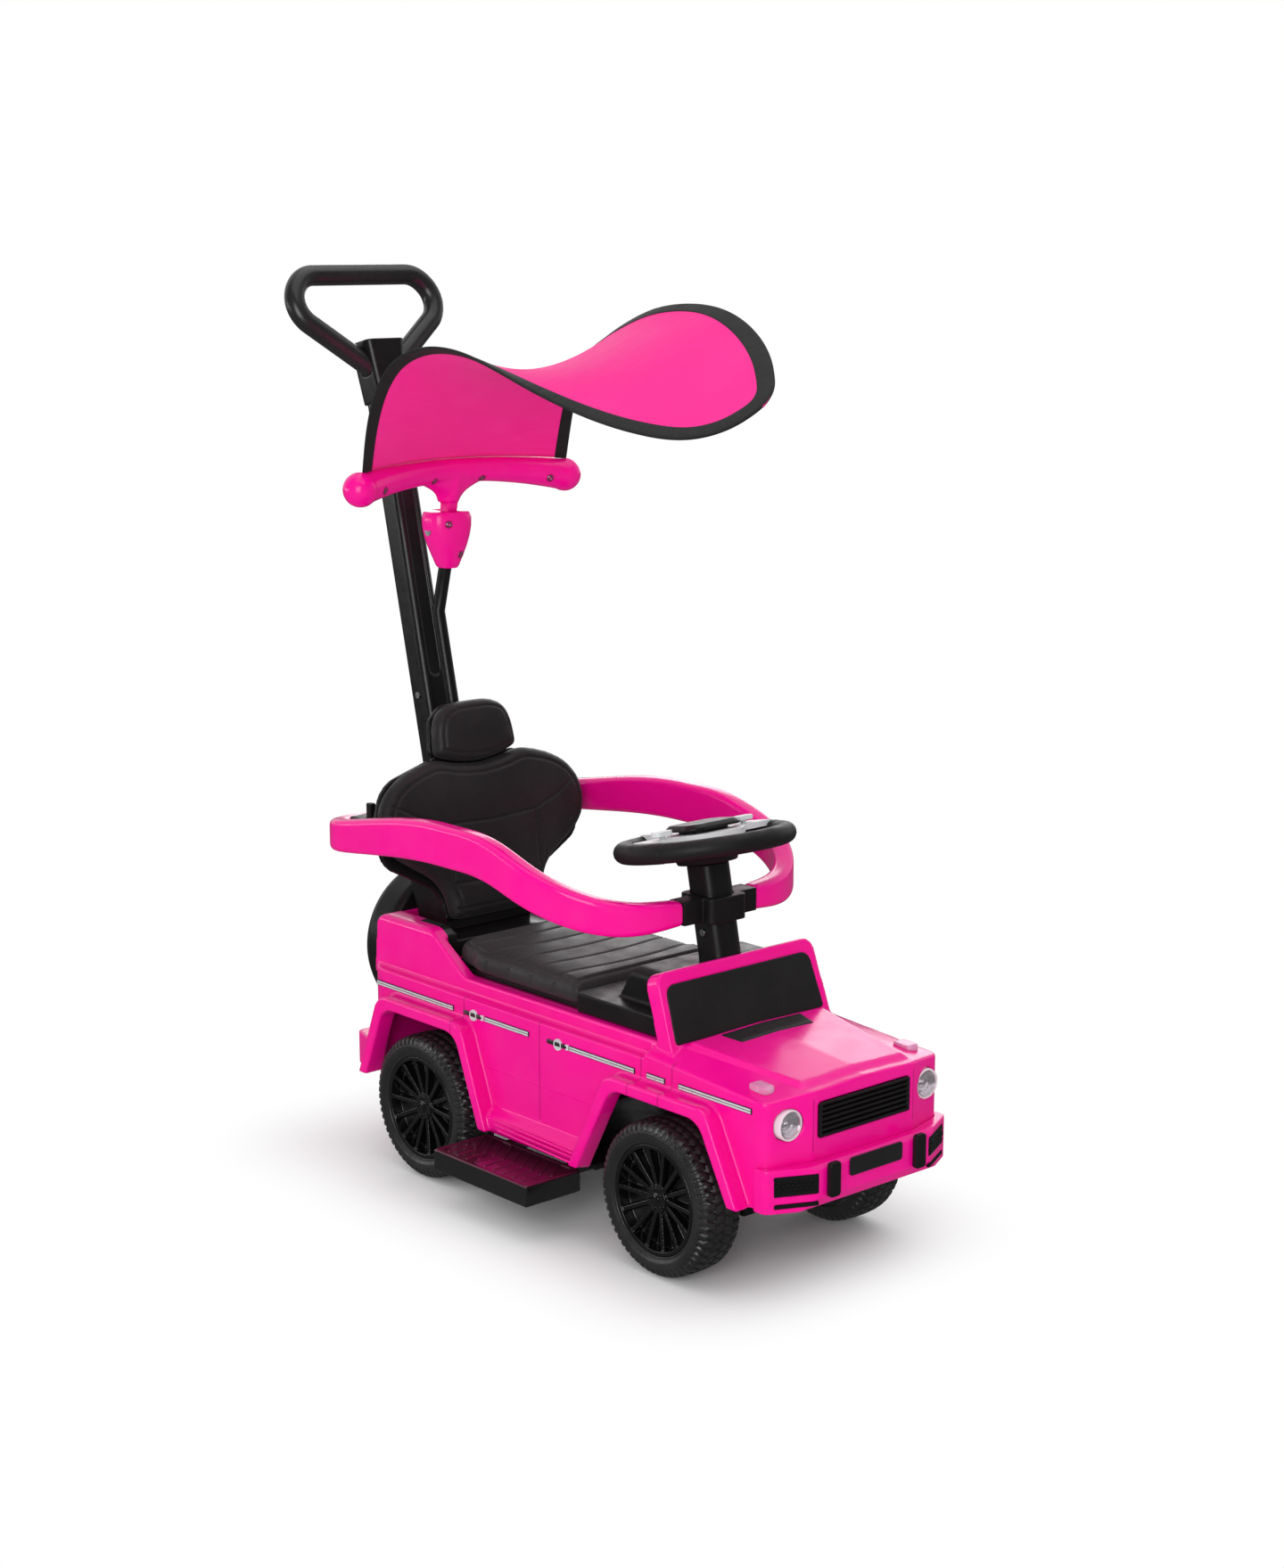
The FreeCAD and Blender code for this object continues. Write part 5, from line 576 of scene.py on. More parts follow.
def raise_bonnet(piece):
    """Lifts the middle of the bonnet into a panel with soft edges along its crest lines."""
    rear, front, rise = 0.250, 0.400, 0.0042
    nose_x, nose_half, widening = 0.410, 0.074, 0.026 / 0.167
    places = [v.co.copy() for v in piece.data.vertices]
    facings = [v.normal.z for v in piece.data.vertices]
    for place, up in zip(places, facings):
        x, y, z = place
        if x < rear or z < 0.195 or up < 0.7:
            continue
        half = nose_half + widening * (nose_x - x)
        ends = eased(front - x, 0.0, 0.008) * eased(x - rear, 0.0, 0.008)
        place.z += rise * eased(half - abs(y), -0.002, 0.005) * ends
    piece.data.vertices.foreach_set("co", [value for place in places for value in place])
    piece.data.update()


raise_bonnet(body_form)
for node, voxel, passes in (("front_bumper", 0.0011, 5), ("rear_bumper", 0.0012, 5),
                            ("guard_arm_right", 0.0013, 6), ("guard_arm_left", 0.0013, 6)):
    dressed(node, plain_pink, voxel, passes, 0.4)


def bow_flare(maker):
    """Concave flare where the stem meets the bow, as a stack of ovals."""
    stem_x, stem_z, stem_lean = -0.2585, 0.738, 0.0105 / 0.045
    rings = []
    for z, half_x, half_y in ((0.746, 0.0110, 0.0125), (0.751, 0.0115, 0.0145), (0.756, 0.0120, 0.0185),
                              (0.760, 0.0122, 0.0240), (0.764, 0.0124, 0.0320), (0.768, 0.0124, 0.0420),
                              (0.773, 0.0124, 0.0500), (0.782, 0.0120, 0.0520)):
        x = stem_x + stem_lean * (z - stem_z)
        rings.append([maker.verts.new((x + half_x * c, half_y * s, z)) for c, s in circle(40)])
    skinned(maker, rings)


bow_form = dressed("canopy_bow", plain_pink, 0.0011, 14, 0.4, bow_flare)


def housing():
    """Shield-shaped housing with a mouth in its top for the tilting stem."""
    middle_x = -0.260
    maker = bmesh.new()
    rings = []
    for z, half_y, half_x in ((0.6705, 0.0095, 0.0120), (0.6730, 0.0115, 0.0140), (0.6790, 0.0140, 0.0160),
                              (0.6870, 0.0175, 0.0185), (0.6970, 0.0222, 0.0205), (0.7080, 0.0262, 0.0217),
                              (0.7180, 0.0284, 0.0222), (0.7275, 0.0288, 0.0222), (0.7325, 0.0278, 0.0215),
                              (0.7350, 0.0262, 0.0207), (0.7356, 0.0244, 0.0198)):
        ring = []
        for c, s in circle(72):
            x = math.copysign(abs(c) ** 0.78, c) * half_x
            y = math.copysign(abs(s) ** 0.78, s) * half_y
            ring.append(maker.verts.new((middle_x + x, y, z)))
        rings.append(ring)
    skinned(maker, rings)
    piece = built("joint_housing_form", maker, plain_pink, "car", False)
    maker = bmesh.new()
    profile = ((-0.0092, 0.7045), (0.0092, 0.7045), (0.0092, 0.7140), (0.0215, 0.7390), (-0.0215, 0.7390),
               (-0.0092, 0.7140))
    skinned(maker, [[maker.verts.new((middle_x + x, y, z)) for x, z in profile] for y in (-0.0077, 0.0077)])
    mouth = linked("housing_mouth", finished(maker, "housing_mouth", False))
    cut = piece.modifiers.new("mouth", "BOOLEAN")
    cut.operation = "DIFFERENCE"
    cut.solver = "EXACT"
    cut.object = mouth
    settled(piece)
    bpy.data.objects.remove(mouth)
    coated(piece.data, plain_pink)
    piece.data.shade_smooth()
    piece.data.set_sharp_from_angle(angle=math.radians(38))
    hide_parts("joint_housing")
    return piece


housing_form = housing()
for node, paint, voxel, passes, keep in (
        ("dash_console", black, 0.0013, 6, 0.4), ("steering_column", black, 0.0011, 4, 0.4),
        ("guard_collar", black, 0.0009, 5, 0.4), ("guard_bracket", black, 0.0010, 5, 0.4),
        ("push_pole", pole_black, 0.0011, 4, 0.35), ("handle_block", pole_black, 0.0009, 8, 0.4),
        ("handle_loop", handle_black, 0.0009, 4, 0.4), ("post_bracket", black, 0.0010, 5, 0.4),
        ("backrest_shell", black, 0.0014, 5, 0.4), ("spare_wheel", black, 0.0016, 4, 0.4),
        ("steering_back_cover", black, 0.0010, 6, 0.4), ("grille", black, 0.0007, 3, 0.5),
        ("chassis_base", under_black, 0.0014, 3, 0.4)):
    dressed(node, paint, voxel, passes, keep)
bevelled("windscreen_panel", panel_black, 0.0012, 3)
bevelled("steering_spokes", pale_grey, 0.0010, 3)
horn_form = dressed("horn_pad", black, 0.0008, 10, 0.5)
bevelled("music_button_right", pale_grey, 0.0008, 3)
bevelled("music_button_left", pale_grey, 0.0008, 3)
bevelled("bumper_guards", black, 0.0012, 3)
bevelled("number_plate", panel_black, 0.0007, 3)
bevelled("screws", steel, 0.0005, 3)
bevelled("canopy_post", pole_black, 0.0006, 2)
PLAIN_NODES = {under_black: ("bumper_inserts", "storage_box", "knuckle_right", "knuckle_left"),
               steel: ("rear_axle", "kingpins", "pivot_bolt", "steering_shaft", "tie_rod"),
               black: ("pole_socket", "seat_base")}
for paint, members in PLAIN_NODES.items():
    for node in members:
        coated(NODES[node].data, paint)
dressed("turn_lamp_lenses", lens_pink, 0.0005, 5, 0.6)


def tree_of(mesh):
    return BVHTree.FromPolygons([v.co for v in mesh.vertices], [list(p.vertices) for p in mesh.polygons])


BODY_TREE = tree_of(body_form.data)
BOW_TREE = tree_of(bow_form.data)
HOUSING_TREE = tree_of(housing_form.data)


def facing(outward):
    """Rotation whose Z axis points outward."""
    return outward.to_track_quat("Z", "Y").to_matrix().to_4x4()


def bonnet_vent():
    """Dark vent plate that lies on the raised bonnet, with slanted ends and two shallow marks."""
    maker = bmesh.new()
    across, along = 58, 14
    centre_x, half_long, half_wide, taper = 0.274, 0.013, 0.058, 0.006
    sunk, thick, mark_y, mark_x, mark_deep = 0.0006, 0.0022, 0.022, 0.272, 0.0008
    grid = []
    for row in range(along + 1):
        v = 2 * row / along - 1
        line = []
        for column in range(across + 1):
            u = 2 * column / across - 1
            y = u * (half_wide - taper * (v + 1) / 2)
            x = centre_x + half_long * v
            hit = BODY_TREE.ray_cast(Vector((x, y, 0.4)), -UPWARD)[0]
            edge = min((1 - abs(u)) * (half_wide - taper / 2), (1 - abs(v)) * half_long)
            lift = thick * eased(edge, -0.0001, 0.0014) - sunk
            lift -= mark_deep * eased(math.hypot(abs(y) - mark_y, x - mark_x), 0.0030, 0.0014)
            line.append(maker.verts.new((x, y, hit.z + lift)))
        grid.append(line)
    gridded(maker, grid)
    piece = built("bonnet_vent_form", maker, panel_black, "car")
    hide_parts("bonnet_vent")


bonnet_vent()


def rib_on_body(maker, side, x0, x1, z, half_width, lift):
    ends = []
    for x, step in ((x0, 0.003), (x1, -0.003)):
        hit = None
        while hit is None or abs(hit.y) < 0.13:
            hit = BODY_TREE.ray_cast(Vector((x, side * 0.3, z)), -side * ACROSS)[0]
            x += step
        ends.append(hit)
    capsule_row(maker, ends[0], ends[1], half_width, lift, side * ACROSS)


def sill_ribs():
    maker = bmesh.new()
    for side in SIDES.values():
        for index in range(3):
            rib_on_body(maker, side, -0.018 + 0.004 * index, 0.142 - 0.004 * index, 0.0995 - 0.0055 * index,
                        0.0014, 0.0012)
    built("sill_ribs", maker, plain_pink, "car")


sill_ribs()


# Side trim and door handles

def box_faces(maker, xs, ys, zs, bevel, side=1):
    """Box with round edges between two places on each axis; side -1 mirrors it to the right."""
    spans = (xs, sorted((side * ys[0], side * ys[1])), zs)
    made = bmesh.ops.create_cube(maker, size=1.0)["verts"]
    for vertex in made:
        vertex.co = Vector((low + high) / 2 + at * (high - low) for at, (low, high) in zip(vertex.co, spans))
    edges = list({edge for vertex in made for edge in vertex.link_edges})
    bmesh.ops.bevel(maker, geom=edges, offset=bevel, offset_type="OFFSET", segments=3, profile=0.5,
                    affect="EDGES", clamp_overlap=True)


TRIM_RUNS = ((-0.239, -0.096), (-0.041, 0.035), (0.102, 0.206), (0.224, 0.252), (0.272, 0.378))
HANDLE_XS = (-0.060, 0.084)
TRIM_Z = 0.205
SIDE_Y = 0.126


def side_trim():
    """Trim strips with a dark edge and two bright lines, and door handles with a round lock."""
    dark, bright, bars = bmesh.new(), bmesh.new(), bmesh.new()
    foot = SIDE_Y - 0.0006
    grip_ys = (foot, SIDE_Y + 0.0020)
    for side in SIDES.values():
        for x0, x1 in TRIM_RUNS:
            box_faces(dark, (x0, x1), (foot, SIDE_Y + 0.0010), (TRIM_Z - 0.003, TRIM_Z + 0.003), 0.0004, side)
            for low, high in ((-0.0023, -0.0004), (0.0004, 0.0023)):
                box_faces(bright, (x0 + 0.0009, x1 - 0.0009), (SIDE_Y + 0.0004, SIDE_Y + 0.0014),
                          (TRIM_Z + low, TRIM_Z + high), 0.0003, side)
        for x in HANDLE_XS:
            box_faces(bars, (x - 0.018, x + 0.016), grip_ys, (TRIM_Z - 0.0022, TRIM_Z + 0.0026), 0.0010, side)
            face = Matrix.Translation((x, side * SIDE_Y, TRIM_Z)) @ facing(side * ACROSS)
            lathe(bright, [(0, 1.2), (4, 1.2), (4.6, 2.2), (6, 2.2), (6.4, 1), (6.4, -0.6)], 36, face)
            box_faces(bright, (x + 0.0125, x + 0.0172), grip_ys, (TRIM_Z - 0.0028, TRIM_Z + 0.0032), 0.0007,
                      side)
    edge = built("side_trim_edge", dark, under_black, "car", False)
    built("side_trim_bright", bright, silver, "car", False)
    built("door_handles", bars, dark_chrome, "car")
    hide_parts("side_trim")


side_trim()


# Lamps

def headlights():
    """Round lamps: pale bezel, stepped reflector with an inner ring, bulb and a clear domed lens."""
    lamp_x, lamp_y, lamp_z = 0.4035, 0.0985, 0.191
    ahead = Matrix.Rotation(math.radians(90), 4, "Y")
    bezel, mirror, glass = bmesh.new(), bmesh.new(), bmesh.new()
    for side in SIDES.values():
        place = Matrix.Translation((lamp_x, side * lamp_y, lamp_z)) @ ahead
        lathe(bezel, [(16, -10), (16, 0.2), (15.6, 1.2), (14.8, 1.6), (14, 1.2), (13.6, 0.2), (13.4, -3)],
              72, place)
        bowl = [(13.5, -1.2), (12.4, -3), (11.8, -3), (10.4, -5.6), (9.8, -5), (9.2, -5),
                (8.6, -6), (6.4, -7.8), (5.8, -7), (5.2, -7.8), (3.6, -8.4), (3.4, -6.2),
                (2.6, -4.8), (1.2, -4), (0, -3.8)]
        lathe(mirror, bowl, 72, place)
        lathe(glass, [(13.8, -0.8), (13.7, 0.2), (12.2, 1.6), (9.2, 2.9), (5, 3.7), (0, 4)], 72, place)
        lathe(glass, [(13.8, -0.8), (12, 0.4), (9, 1.7), (5, 2.5), (0, 2.8)], 72, place)
    rim = built("headlight_bezels", bezel, lens_pale, "car")
    built("headlight_reflectors", mirror, mirror_silver, "car")
    cover = built("headlight_covers", glass, lens_clear, "car")
    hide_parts("headlight_bowls")
    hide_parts("headlight_lenses")


headlights()


# Honeycomb of the bumper inserts

def honeycomb():
    """Raised six-sided cells over the two mesh panels of the bumper."""
    maker = bmesh.new()
    tree = tree_of(NODES["bumper_inserts"].data)
    pitch = 0.0046
    for side in SIDES.values():
        outward = Vector((0.0205, side * 0.035, 0)).normalized()
        across = Vector((-outward.y, outward.x, 0))
        middle = Vector((0.4136, side * 0.101, 0.133))
        for row in range(-4, 5):
            for column in range(-10, 11):
                u = (column + 0.5 * (row % 2)) * pitch
                centre = middle + across * u + Vector((0, 0, row * pitch * 0.866))
                corners = []
                for step in range(6):
                    angle = math.radians(60 * step + 30)
                    corners.append(across * math.cos(angle) + Vector((0, 0, math.sin(angle))))
                hits = [tree.ray_cast(centre + corner * (pitch * 0.5) + outward * 0.02, -outward)
                        for corner in corners]
                if any(hit[0] is None or hit[3] > 0.032 or hit[1].dot(outward) < 0.8 for hit in hits):
                    continue
                foot = [hit[0] - outward * 0.0002 for hit in hits]
                base = sum(foot, Vector()) / 6
                rings = []
                for share, lift in ((1.06, 0.0), (1.06, 0.0009), (0.86, 0.0011), (0.80, 0.0)):
                    rings.append([maker.verts.new(base + (p - base) * share + outward * lift) for p in foot])
                skinned(maker, rings, False)
    built("bumper_mesh", maker, black, "car", False)


honeycomb()


# Clips and screws

def bracket_tabs():
    """Clips of the rear bracket that reach over the ends of both guard arms."""
    maker = bmesh.new()
    for side in SIDES.values():
        box_faces(maker, (-0.258, -0.230), (0.118, 0.146), (0.3935, 0.3995), 0.0016, side)
        box_faces(maker, (-0.249, -0.240), (0.122, 0.130), (0.3960, 0.4140), 0.0016, side)
    built("bracket_tabs", maker, black, "car", False)


bracket_tabs()


def screw_heads():
    """Screws in rings of darker pink, the painted shade of their wells, on the bow and the housing where rays
    from the front meet them.
    """
    bodies = {"canopy": (BOW_TREE, []), "car": (HOUSING_TREE, [])}
    for y, z in ((-0.118, 0.769), (-0.034, 0.772), (0.034, 0.772), (0.118, 0.769)):
        bodies["canopy"][1].append((Vector((0.1, y, z - 0.010)), Vector((-1, 0, 0.03))))
    for y, z in ((-0.013, 0.722), (0.006, 0.686)):
        bodies["car"][1].append((Vector((0.1, y, z)), Vector((-1, 0, 0))))
    for body, (tree, rays) in bodies.items():
        heads = bmesh.new()
        wells = bmesh.new()
        for origin, way in rays:
            point, normal = tree.ray_cast(origin, way.normalized())[:2]
            if point is None:
                continue
            place = Matrix.Translation(point) @ facing(normal)
            # The ring round each head is darker pink: painted shade of the well.
            lathe(wells, [(4.8, -0.6), (4.6, 0.4), (3.8, 0.5), (3.4, -0.6)], 28, place)
            lathe(heads, [(3.3, -0.4), (3.2, 0.1), (2, 0.6), (1.3, 0.5), (1.2, -0.3), (0, -0.4)], 28, place)
        built("screw_wells_" + body, wells, pink_painted_shade, body)
        built("screw_heads_" + body, heads, steel, body)


screw_heads()


# Steering wheel

WHEEL_C = Vector((0.1746, 0.0, 0.421))
WHEEL_UP = Vector((-0.19937, 0.0, 0.97992))
WHEEL_AHEAD = Vector((0.97992, 0.0, 0.19937))


def clear_horn_pad():
    """Presses the underside of the pad's cap flatter, so that the pressed pad stays off the spokes."""
    low, clear, high = 0.0136, 0.0150, 0.0160
    for vertex in horn_form.data.vertices:
        height = (vertex.co - WHEEL_C).dot(WHEEL_UP)
        if low < height < high:
            raised = max(clear, high - (high - height) / 2)
            vertex.co += WHEEL_UP * (raised - height)
    horn_form.data.update()


clear_horn_pad()


def steering_rim():
    """Rim with seams at the ends of two perforated grips; UV in metres round the rim and the tube."""
    maker = bmesh.new()
    layer = maker.loops.layers.uv.new("UVMap")
    ring_r, tube_r = 0.086, 0.011
    columns, rows = 360, 44
    grip_from, grip_to = 72, 148
    seam_half, seam_deep, grip_lift = 0.6, 0.0007, 0.0003
    grid = []
    for column in range(columns):
        degrees = column * 360 / columns - 180
        theta = math.radians(degrees)
        out = WHEEL_AHEAD * math.cos(theta) + ACROSS * math.sin(theta)
        near = min(abs(abs(degrees) - seam) for seam in (grip_from, grip_to))
        grip = grip_from < abs(degrees) < grip_to
        radius = tube_r - (seam_deep if near < seam_half else 0.0) - (0.0 if grip else grip_lift)
        line = []
        for c, s in circle(rows):
            spot = WHEEL_C + out * (ring_r + radius * c) + WHEEL_UP * (radius * s)
            line.append(maker.verts.new(spot))
        grid.append(line)
    for column in range(columns):
        after = (column + 1) % columns
        for row in range(rows):
            up = (row + 1) % rows
            face = maker.faces.new((grid[column][row], grid[after][row], grid[after][up], grid[column][up]))
            corners = ((column, row), (column + 1, row), (column + 1, row + 1), (column, row + 1))
            for loop, (c, r) in zip(face.loops, corners):
                loop[layer].uv = (c / columns * 2 * math.pi * ring_r, r / rows * 2 * math.pi * tube_r)
            middle = abs((column + 0.5) * 360 / columns - 180)
            face.material_index = 1 if grip_from < middle < grip_to else 0
    mesh = finished(maker, "steering_rim_form")
    piece = add_object("steering_rim_form", mesh, [soft_black, grip_black], "steering")
    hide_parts("steering_rim")


steering_rim()


# Footrests

def footrest(side, name):
    """Hollow step with a low border and bent tread ribs, on two runners."""
    maker = bmesh.new()
    rear, front, inner, outer, top = -0.051, 0.108, 0.116, 0.192, 0.0685
    box_faces(maker, (rear, front), (inner, outer), (0.045, top), 0.0022)
    corners = [Vector((x, y, top)) for x, y in ((rear, inner), (front, inner), (front, outer), (rear, outer))]
    centre = sum(corners, Vector()) / 4
    corners = [corner.lerp(centre, 0.04) for corner in corners]
    for a, b in zip(corners, corners[1:] + corners[:1]):
        capsule_row(maker, a, b, 0.0030, 0.0014, UPWARD)
    for index in range(10):
        x = -0.062 + 0.0158 * index
        points = [Vector((x, 0.123, top)), Vector((x + 0.026, 0.158, top)), Vector((x + 0.028, 0.185, top))]
        for a, b in zip(points, points[1:]):
            a, b = clipped(a, b, rear + 0.007, front - 0.007)
            if a is not None:
                capsule_row(maker, a, b, 0.0016, 0.0014, UPWARD)
    for x in (-0.021, 0.079):
        at = x - side * 0.010
        box_faces(maker, (at - 0.007, at + 0.007), (0.020, 0.122), (0.060, 0.070), 0.0008)
    if side < 0:
        bmesh.ops.scale(maker, vec=(1, -1, 1), verts=maker.verts)
    piece = built("footrest_" + name + "_form", maker, tread_black_painted_reflection, "footrest_" + name)
    flat = piece.modifiers.new("weighted", "WEIGHTED_NORMAL")
    flat.keep_sharp = False
    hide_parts("footrest_" + name)


def clipped(a, b, x0, x1):
    """The part of a line between two X places, or nothing."""
    low, high = 0.0, 1.0
    run = b.x - a.x
    if run > 1e-9:
        low = max(low, (x0 - a.x) / run)
        high = min(high, (x1 - a.x) / run)
    elif not x0 <= a.x <= x1:
        return None, None
    if high - low < 0.08:
        return None, None
    return a.lerp(b, low), a.lerp(b, high)


for name, side in SIDES.items():
    footrest(side, name)


# Cushions

SWELL_FRAMES = 20
SEAM_REACH = 0.006
SEAM_WIDTH = 0.0019


def capped_cloth(piece, pins, cap):
    """Swells a closed mesh with cloth pressure, holds the pinned points and caps how far each point moves."""
    before = [v.co.copy() for v in piece.data.vertices]
    group = piece.vertex_groups.new(name="held")
    group.add(pins, 1.0, "REPLACE")
    cloth = piece.modifiers.new("swell", "CLOTH")
    rules = cloth.settings
    rules.vertex_group_mass = "held"
    rules.use_pressure = True
    rules.uniform_pressure_force = 4.0
    rules.quality = 5
    rules.mass = 0.25
    rules.tension_stiffness = rules.compression_stiffness = 12.0
    rules.bending_stiffness = 0.4
    rules.effector_weights.gravity = 0.0
    cloth.point_cache.frame_start = 1
    cloth.point_cache.frame_end = SWELL_FRAMES
    for number in range(1, SWELL_FRAMES + 1):
        scene.frame_set(number)
    settled(piece)
    scene.frame_set(1)
    for vertex, old in zip(piece.data.vertices, before):
        step = vertex.co - old
        if step.length > cap:
            vertex.co = old + step * (cap / step.length)
    piece.vertex_groups.clear()


def near_line(point, line):
    """Distance in a plane from a point to a run of points."""
    best = 1e9
    for a, b in zip(line, line[1:]):
        dx, dy = b[0] - a[0], b[1] - a[1]
        share = ((point[0] - a[0]) * dx + (point[1] - a[1]) * dy) / max(1e-12, dx * dx + dy * dy)
        share = min(1.0, max(0.0, share))
        best = min(best, math.hypot(point[0] - a[0] - dx * share, point[1] - a[1] - dy * share))
    return best


def rounded_loop(points, count):
    """Closed smooth run through points, as evenly numbered points."""
    total = len(points)
    out = []
    for index in range(count):
        at = total * index / count
        k = int(at)
        t = at - k
        p, q, r, s = (Vector(points[(k + step) % total]) for step in (-1, 0, 1, 2))
        out.append(0.5 * (2 * q + (r - p) * t + (2 * p - 5 * q + 4 * r - s) * t * t
                          + (3 * q - p - 3 * r + s) * t ** 3))
    return out


def drawn_in(loop, inside):
    """A closed run moved inward square to itself."""
    size = len(loop)
    turn = sum(a.x * b.y - b.x * a.y for a, b in zip(loop, loop[1:] + loop[:1]))
    side = 1 if turn > 0 else -1
    out = []
    for index in range(size):
        along = (loop[(index + 1) % size] - loop[index - 1]).normalized()
        out.append(loop[index] + Vector((-along.y, along.x)) * (side * inside))
    return out


def pad_form(loop, levels, place):
    """Closed form from one outline; each level has its height and how far it is drawn in, in millimetres."""
    maker = bmesh.new()
    rings = []
    for height, inside in milli(levels):
        rings.append([maker.verts.new(place(p.x, p.y, height)) for p in drawn_in(loop, inside)])
    skinned(maker, rings)
    return maker


def cushion(node, maker, paint, flat, seams, shown, held, voxel, cap, groove, edge_seam=None):
    """Padded piece: even mesh, cloth pressure between its pinned seams, then fine seams pressed in."""
    piece = linked(node + "_pad", finished(maker, node + "_pad"))
    evened(piece, voxel)
    settled(piece)
    pins = []
    for vertex in piece.data.vertices:
        seam = shown(vertex) and min(near_line(flat(vertex.co), line) for line in seams) < voxel * 0.8
        if seam or held(vertex):
            pins.append(vertex.index)
    capped_cloth(piece, pins, cap)
    finer = piece.modifiers.new("finer", "SUBSURF")
    finer.levels = finer.render_levels = 2
    settled(piece)
    moves = []
    for vertex in piece.data.vertices:
        far = 1.0
        if shown(vertex):
            far = min(near_line(flat(vertex.co), line) for line in seams)
        elif edge_seam:
            far = edge_seam(vertex)
        if far < SEAM_REACH:
            moves.append((vertex.index, vertex.normal * (groove * math.exp(-(far / SEAM_WIDTH) ** 2))))
    for index, move in moves:
        piece.data.vertices[index].co -= move
    piece.data.shade_smooth()
    coated(piece.data, paint)
    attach(piece, BODY_OF[node])
    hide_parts(node)
    return piece


def stitches(name, piece, lines, lay, body):
    """Short threads along flat lines, laid on the surface of a padded piece by rays."""
    length, pitch, radius = 0.0032, 0.0050, 0.00045
    tree = tree_of(piece.data)
    maker = bmesh.new()
    for line in lines:
        spots = []
        for a, b in zip(line, line[1:]):
            count = max(1, int(math.hypot(b[0] - a[0], b[1] - a[1]) / pitch))
            for index in range(count):
                share = (index + 0.5) / count
                spots.append((a[0] + (b[0] - a[0]) * share, a[1] + (b[1] - a[1]) * share, b[0] - a[0],
                              b[1] - a[1]))
        for u, v, du, dv in spots:
            size = math.hypot(du, dv)
            origin, way = lay(u, v)
            further = lay(u + du / size * 0.001, v + dv / size * 0.001)[0]
            point, normal = tree.ray_cast(origin, way)[:2]
            if point is None:
                continue
            along = (further - origin).normalized()
            along = (along - normal * along.dot(normal)).normalized()
            capsule_row(maker, point - along * (length / 2), point + along * (length / 2), radius,
                        radius * 1.5, normal)
    built(name, maker, thread, body)


def plan_of(point):
    return point.x, point.y


def both_sides(half):
    """Closed run from its right half, mirrored about the middle."""
    return half + [(-y, s) for y, s in reversed(half) if abs(y) > 1e-9]


def milli(points):
    return [(u * 0.001, v * 0.001) for u, v in points]


def as_pairs(loop):
    return [(p.x, p.y) for p in loop] + [(loop[0].x, loop[0].y)]


SEAT_HALF = milli([(0, -144.5), (46, -144.5), (66, -143), (80, -137.5), (89.5, -127), (94, -113),
                   (95.8, -101), (99.5, -91), (102.3, -80), (102.6, -50), (102.6, -10), (102.6, 30),
                   (102.6, 70), (102.4, 82), (99.5, 85.6), (88, 86), (45, 86), (0, 86)])
SEAT_LOOP = rounded_loop([(x, y) for y, x in both_sides(SEAT_HALF)], 240)
SEAT_LEVELS = [(243.8, 4), (245, 1.5), (248.5, 0), (257, 0), (262, 1.4), (266, 4.8), (268.8, 10.5),
               (270.4, 19), (271, 30)]
SEAT_XS = [-0.146 + 0.03883 * i for i in range(1, 6)]
SEAT_LINES = [[(x + 0.011 * (1 - (k / 4) ** 2), 0.0945 * k / 4) for k in range(-4, 5)] for x in SEAT_XS]
SEAT_EDGE = as_pairs(drawn_in(SEAT_LOOP, 0.0075))


def cross_seam(vertex):
    """How far a point on the seat's sides lies from the end of a cross seam."""
    if vertex.co.z > 0.248 and abs(vertex.normal.y) > 0.5:
        return min(abs(vertex.co.x - x) for x in SEAT_XS)
    return 1.0


seat_pad = cushion("seat_cushion", pad_form(SEAT_LOOP, SEAT_LEVELS, lambda u, v, h: Vector((u, v, h))),
                   seat_leather, plan_of, SEAT_LINES + [SEAT_EDGE[::4]], lambda v: v.normal.z > 0.35,
                   lambda v: v.co.z < 0.2475, voxel=0.0045, cap=0.0035, groove=0.0017, edge_seam=cross_seam)
SEWN_BESIDE = 0.0030
SEAT_SEWN = [[(x + SEWN_BESIDE, y) for x, y in line] for line in SEAT_LINES]
SEAT_SEWN.append(as_pairs(drawn_in(SEAT_LOOP, 0.0110))[::4])
stitches("seat_stitches", seat_pad, SEAT_SEWN, lambda u, v: (Vector((u, v, 0.4)), -UPWARD), "seat")

BACK_BASE = Vector((-0.168, 0.0, 0.280))
BACK_LEAN = math.radians(12)
BACK_UP = Vector((-math.sin(BACK_LEAN), 0.0, math.cos(BACK_LEAN)))
BACK_AHEAD = Vector((math.cos(BACK_LEAN), 0.0, math.sin(BACK_LEAN)))


def back_of(point):
    offset = point - BACK_BASE
    return offset.y, offset.dot(BACK_UP)


def back_place(u, v, depth):
    return BACK_BASE + ACROSS * u + BACK_UP * v + BACK_AHEAD * depth


def back_lay(u, v):
    return back_place(u, v, 0.1), -BACK_AHEAD


def faces_ahead(vertex):
    return vertex.normal.dot(BACK_AHEAD) > 0.35


def on_shell(vertex):
    return (vertex.co - BACK_BASE).dot(BACK_AHEAD) < -0.013


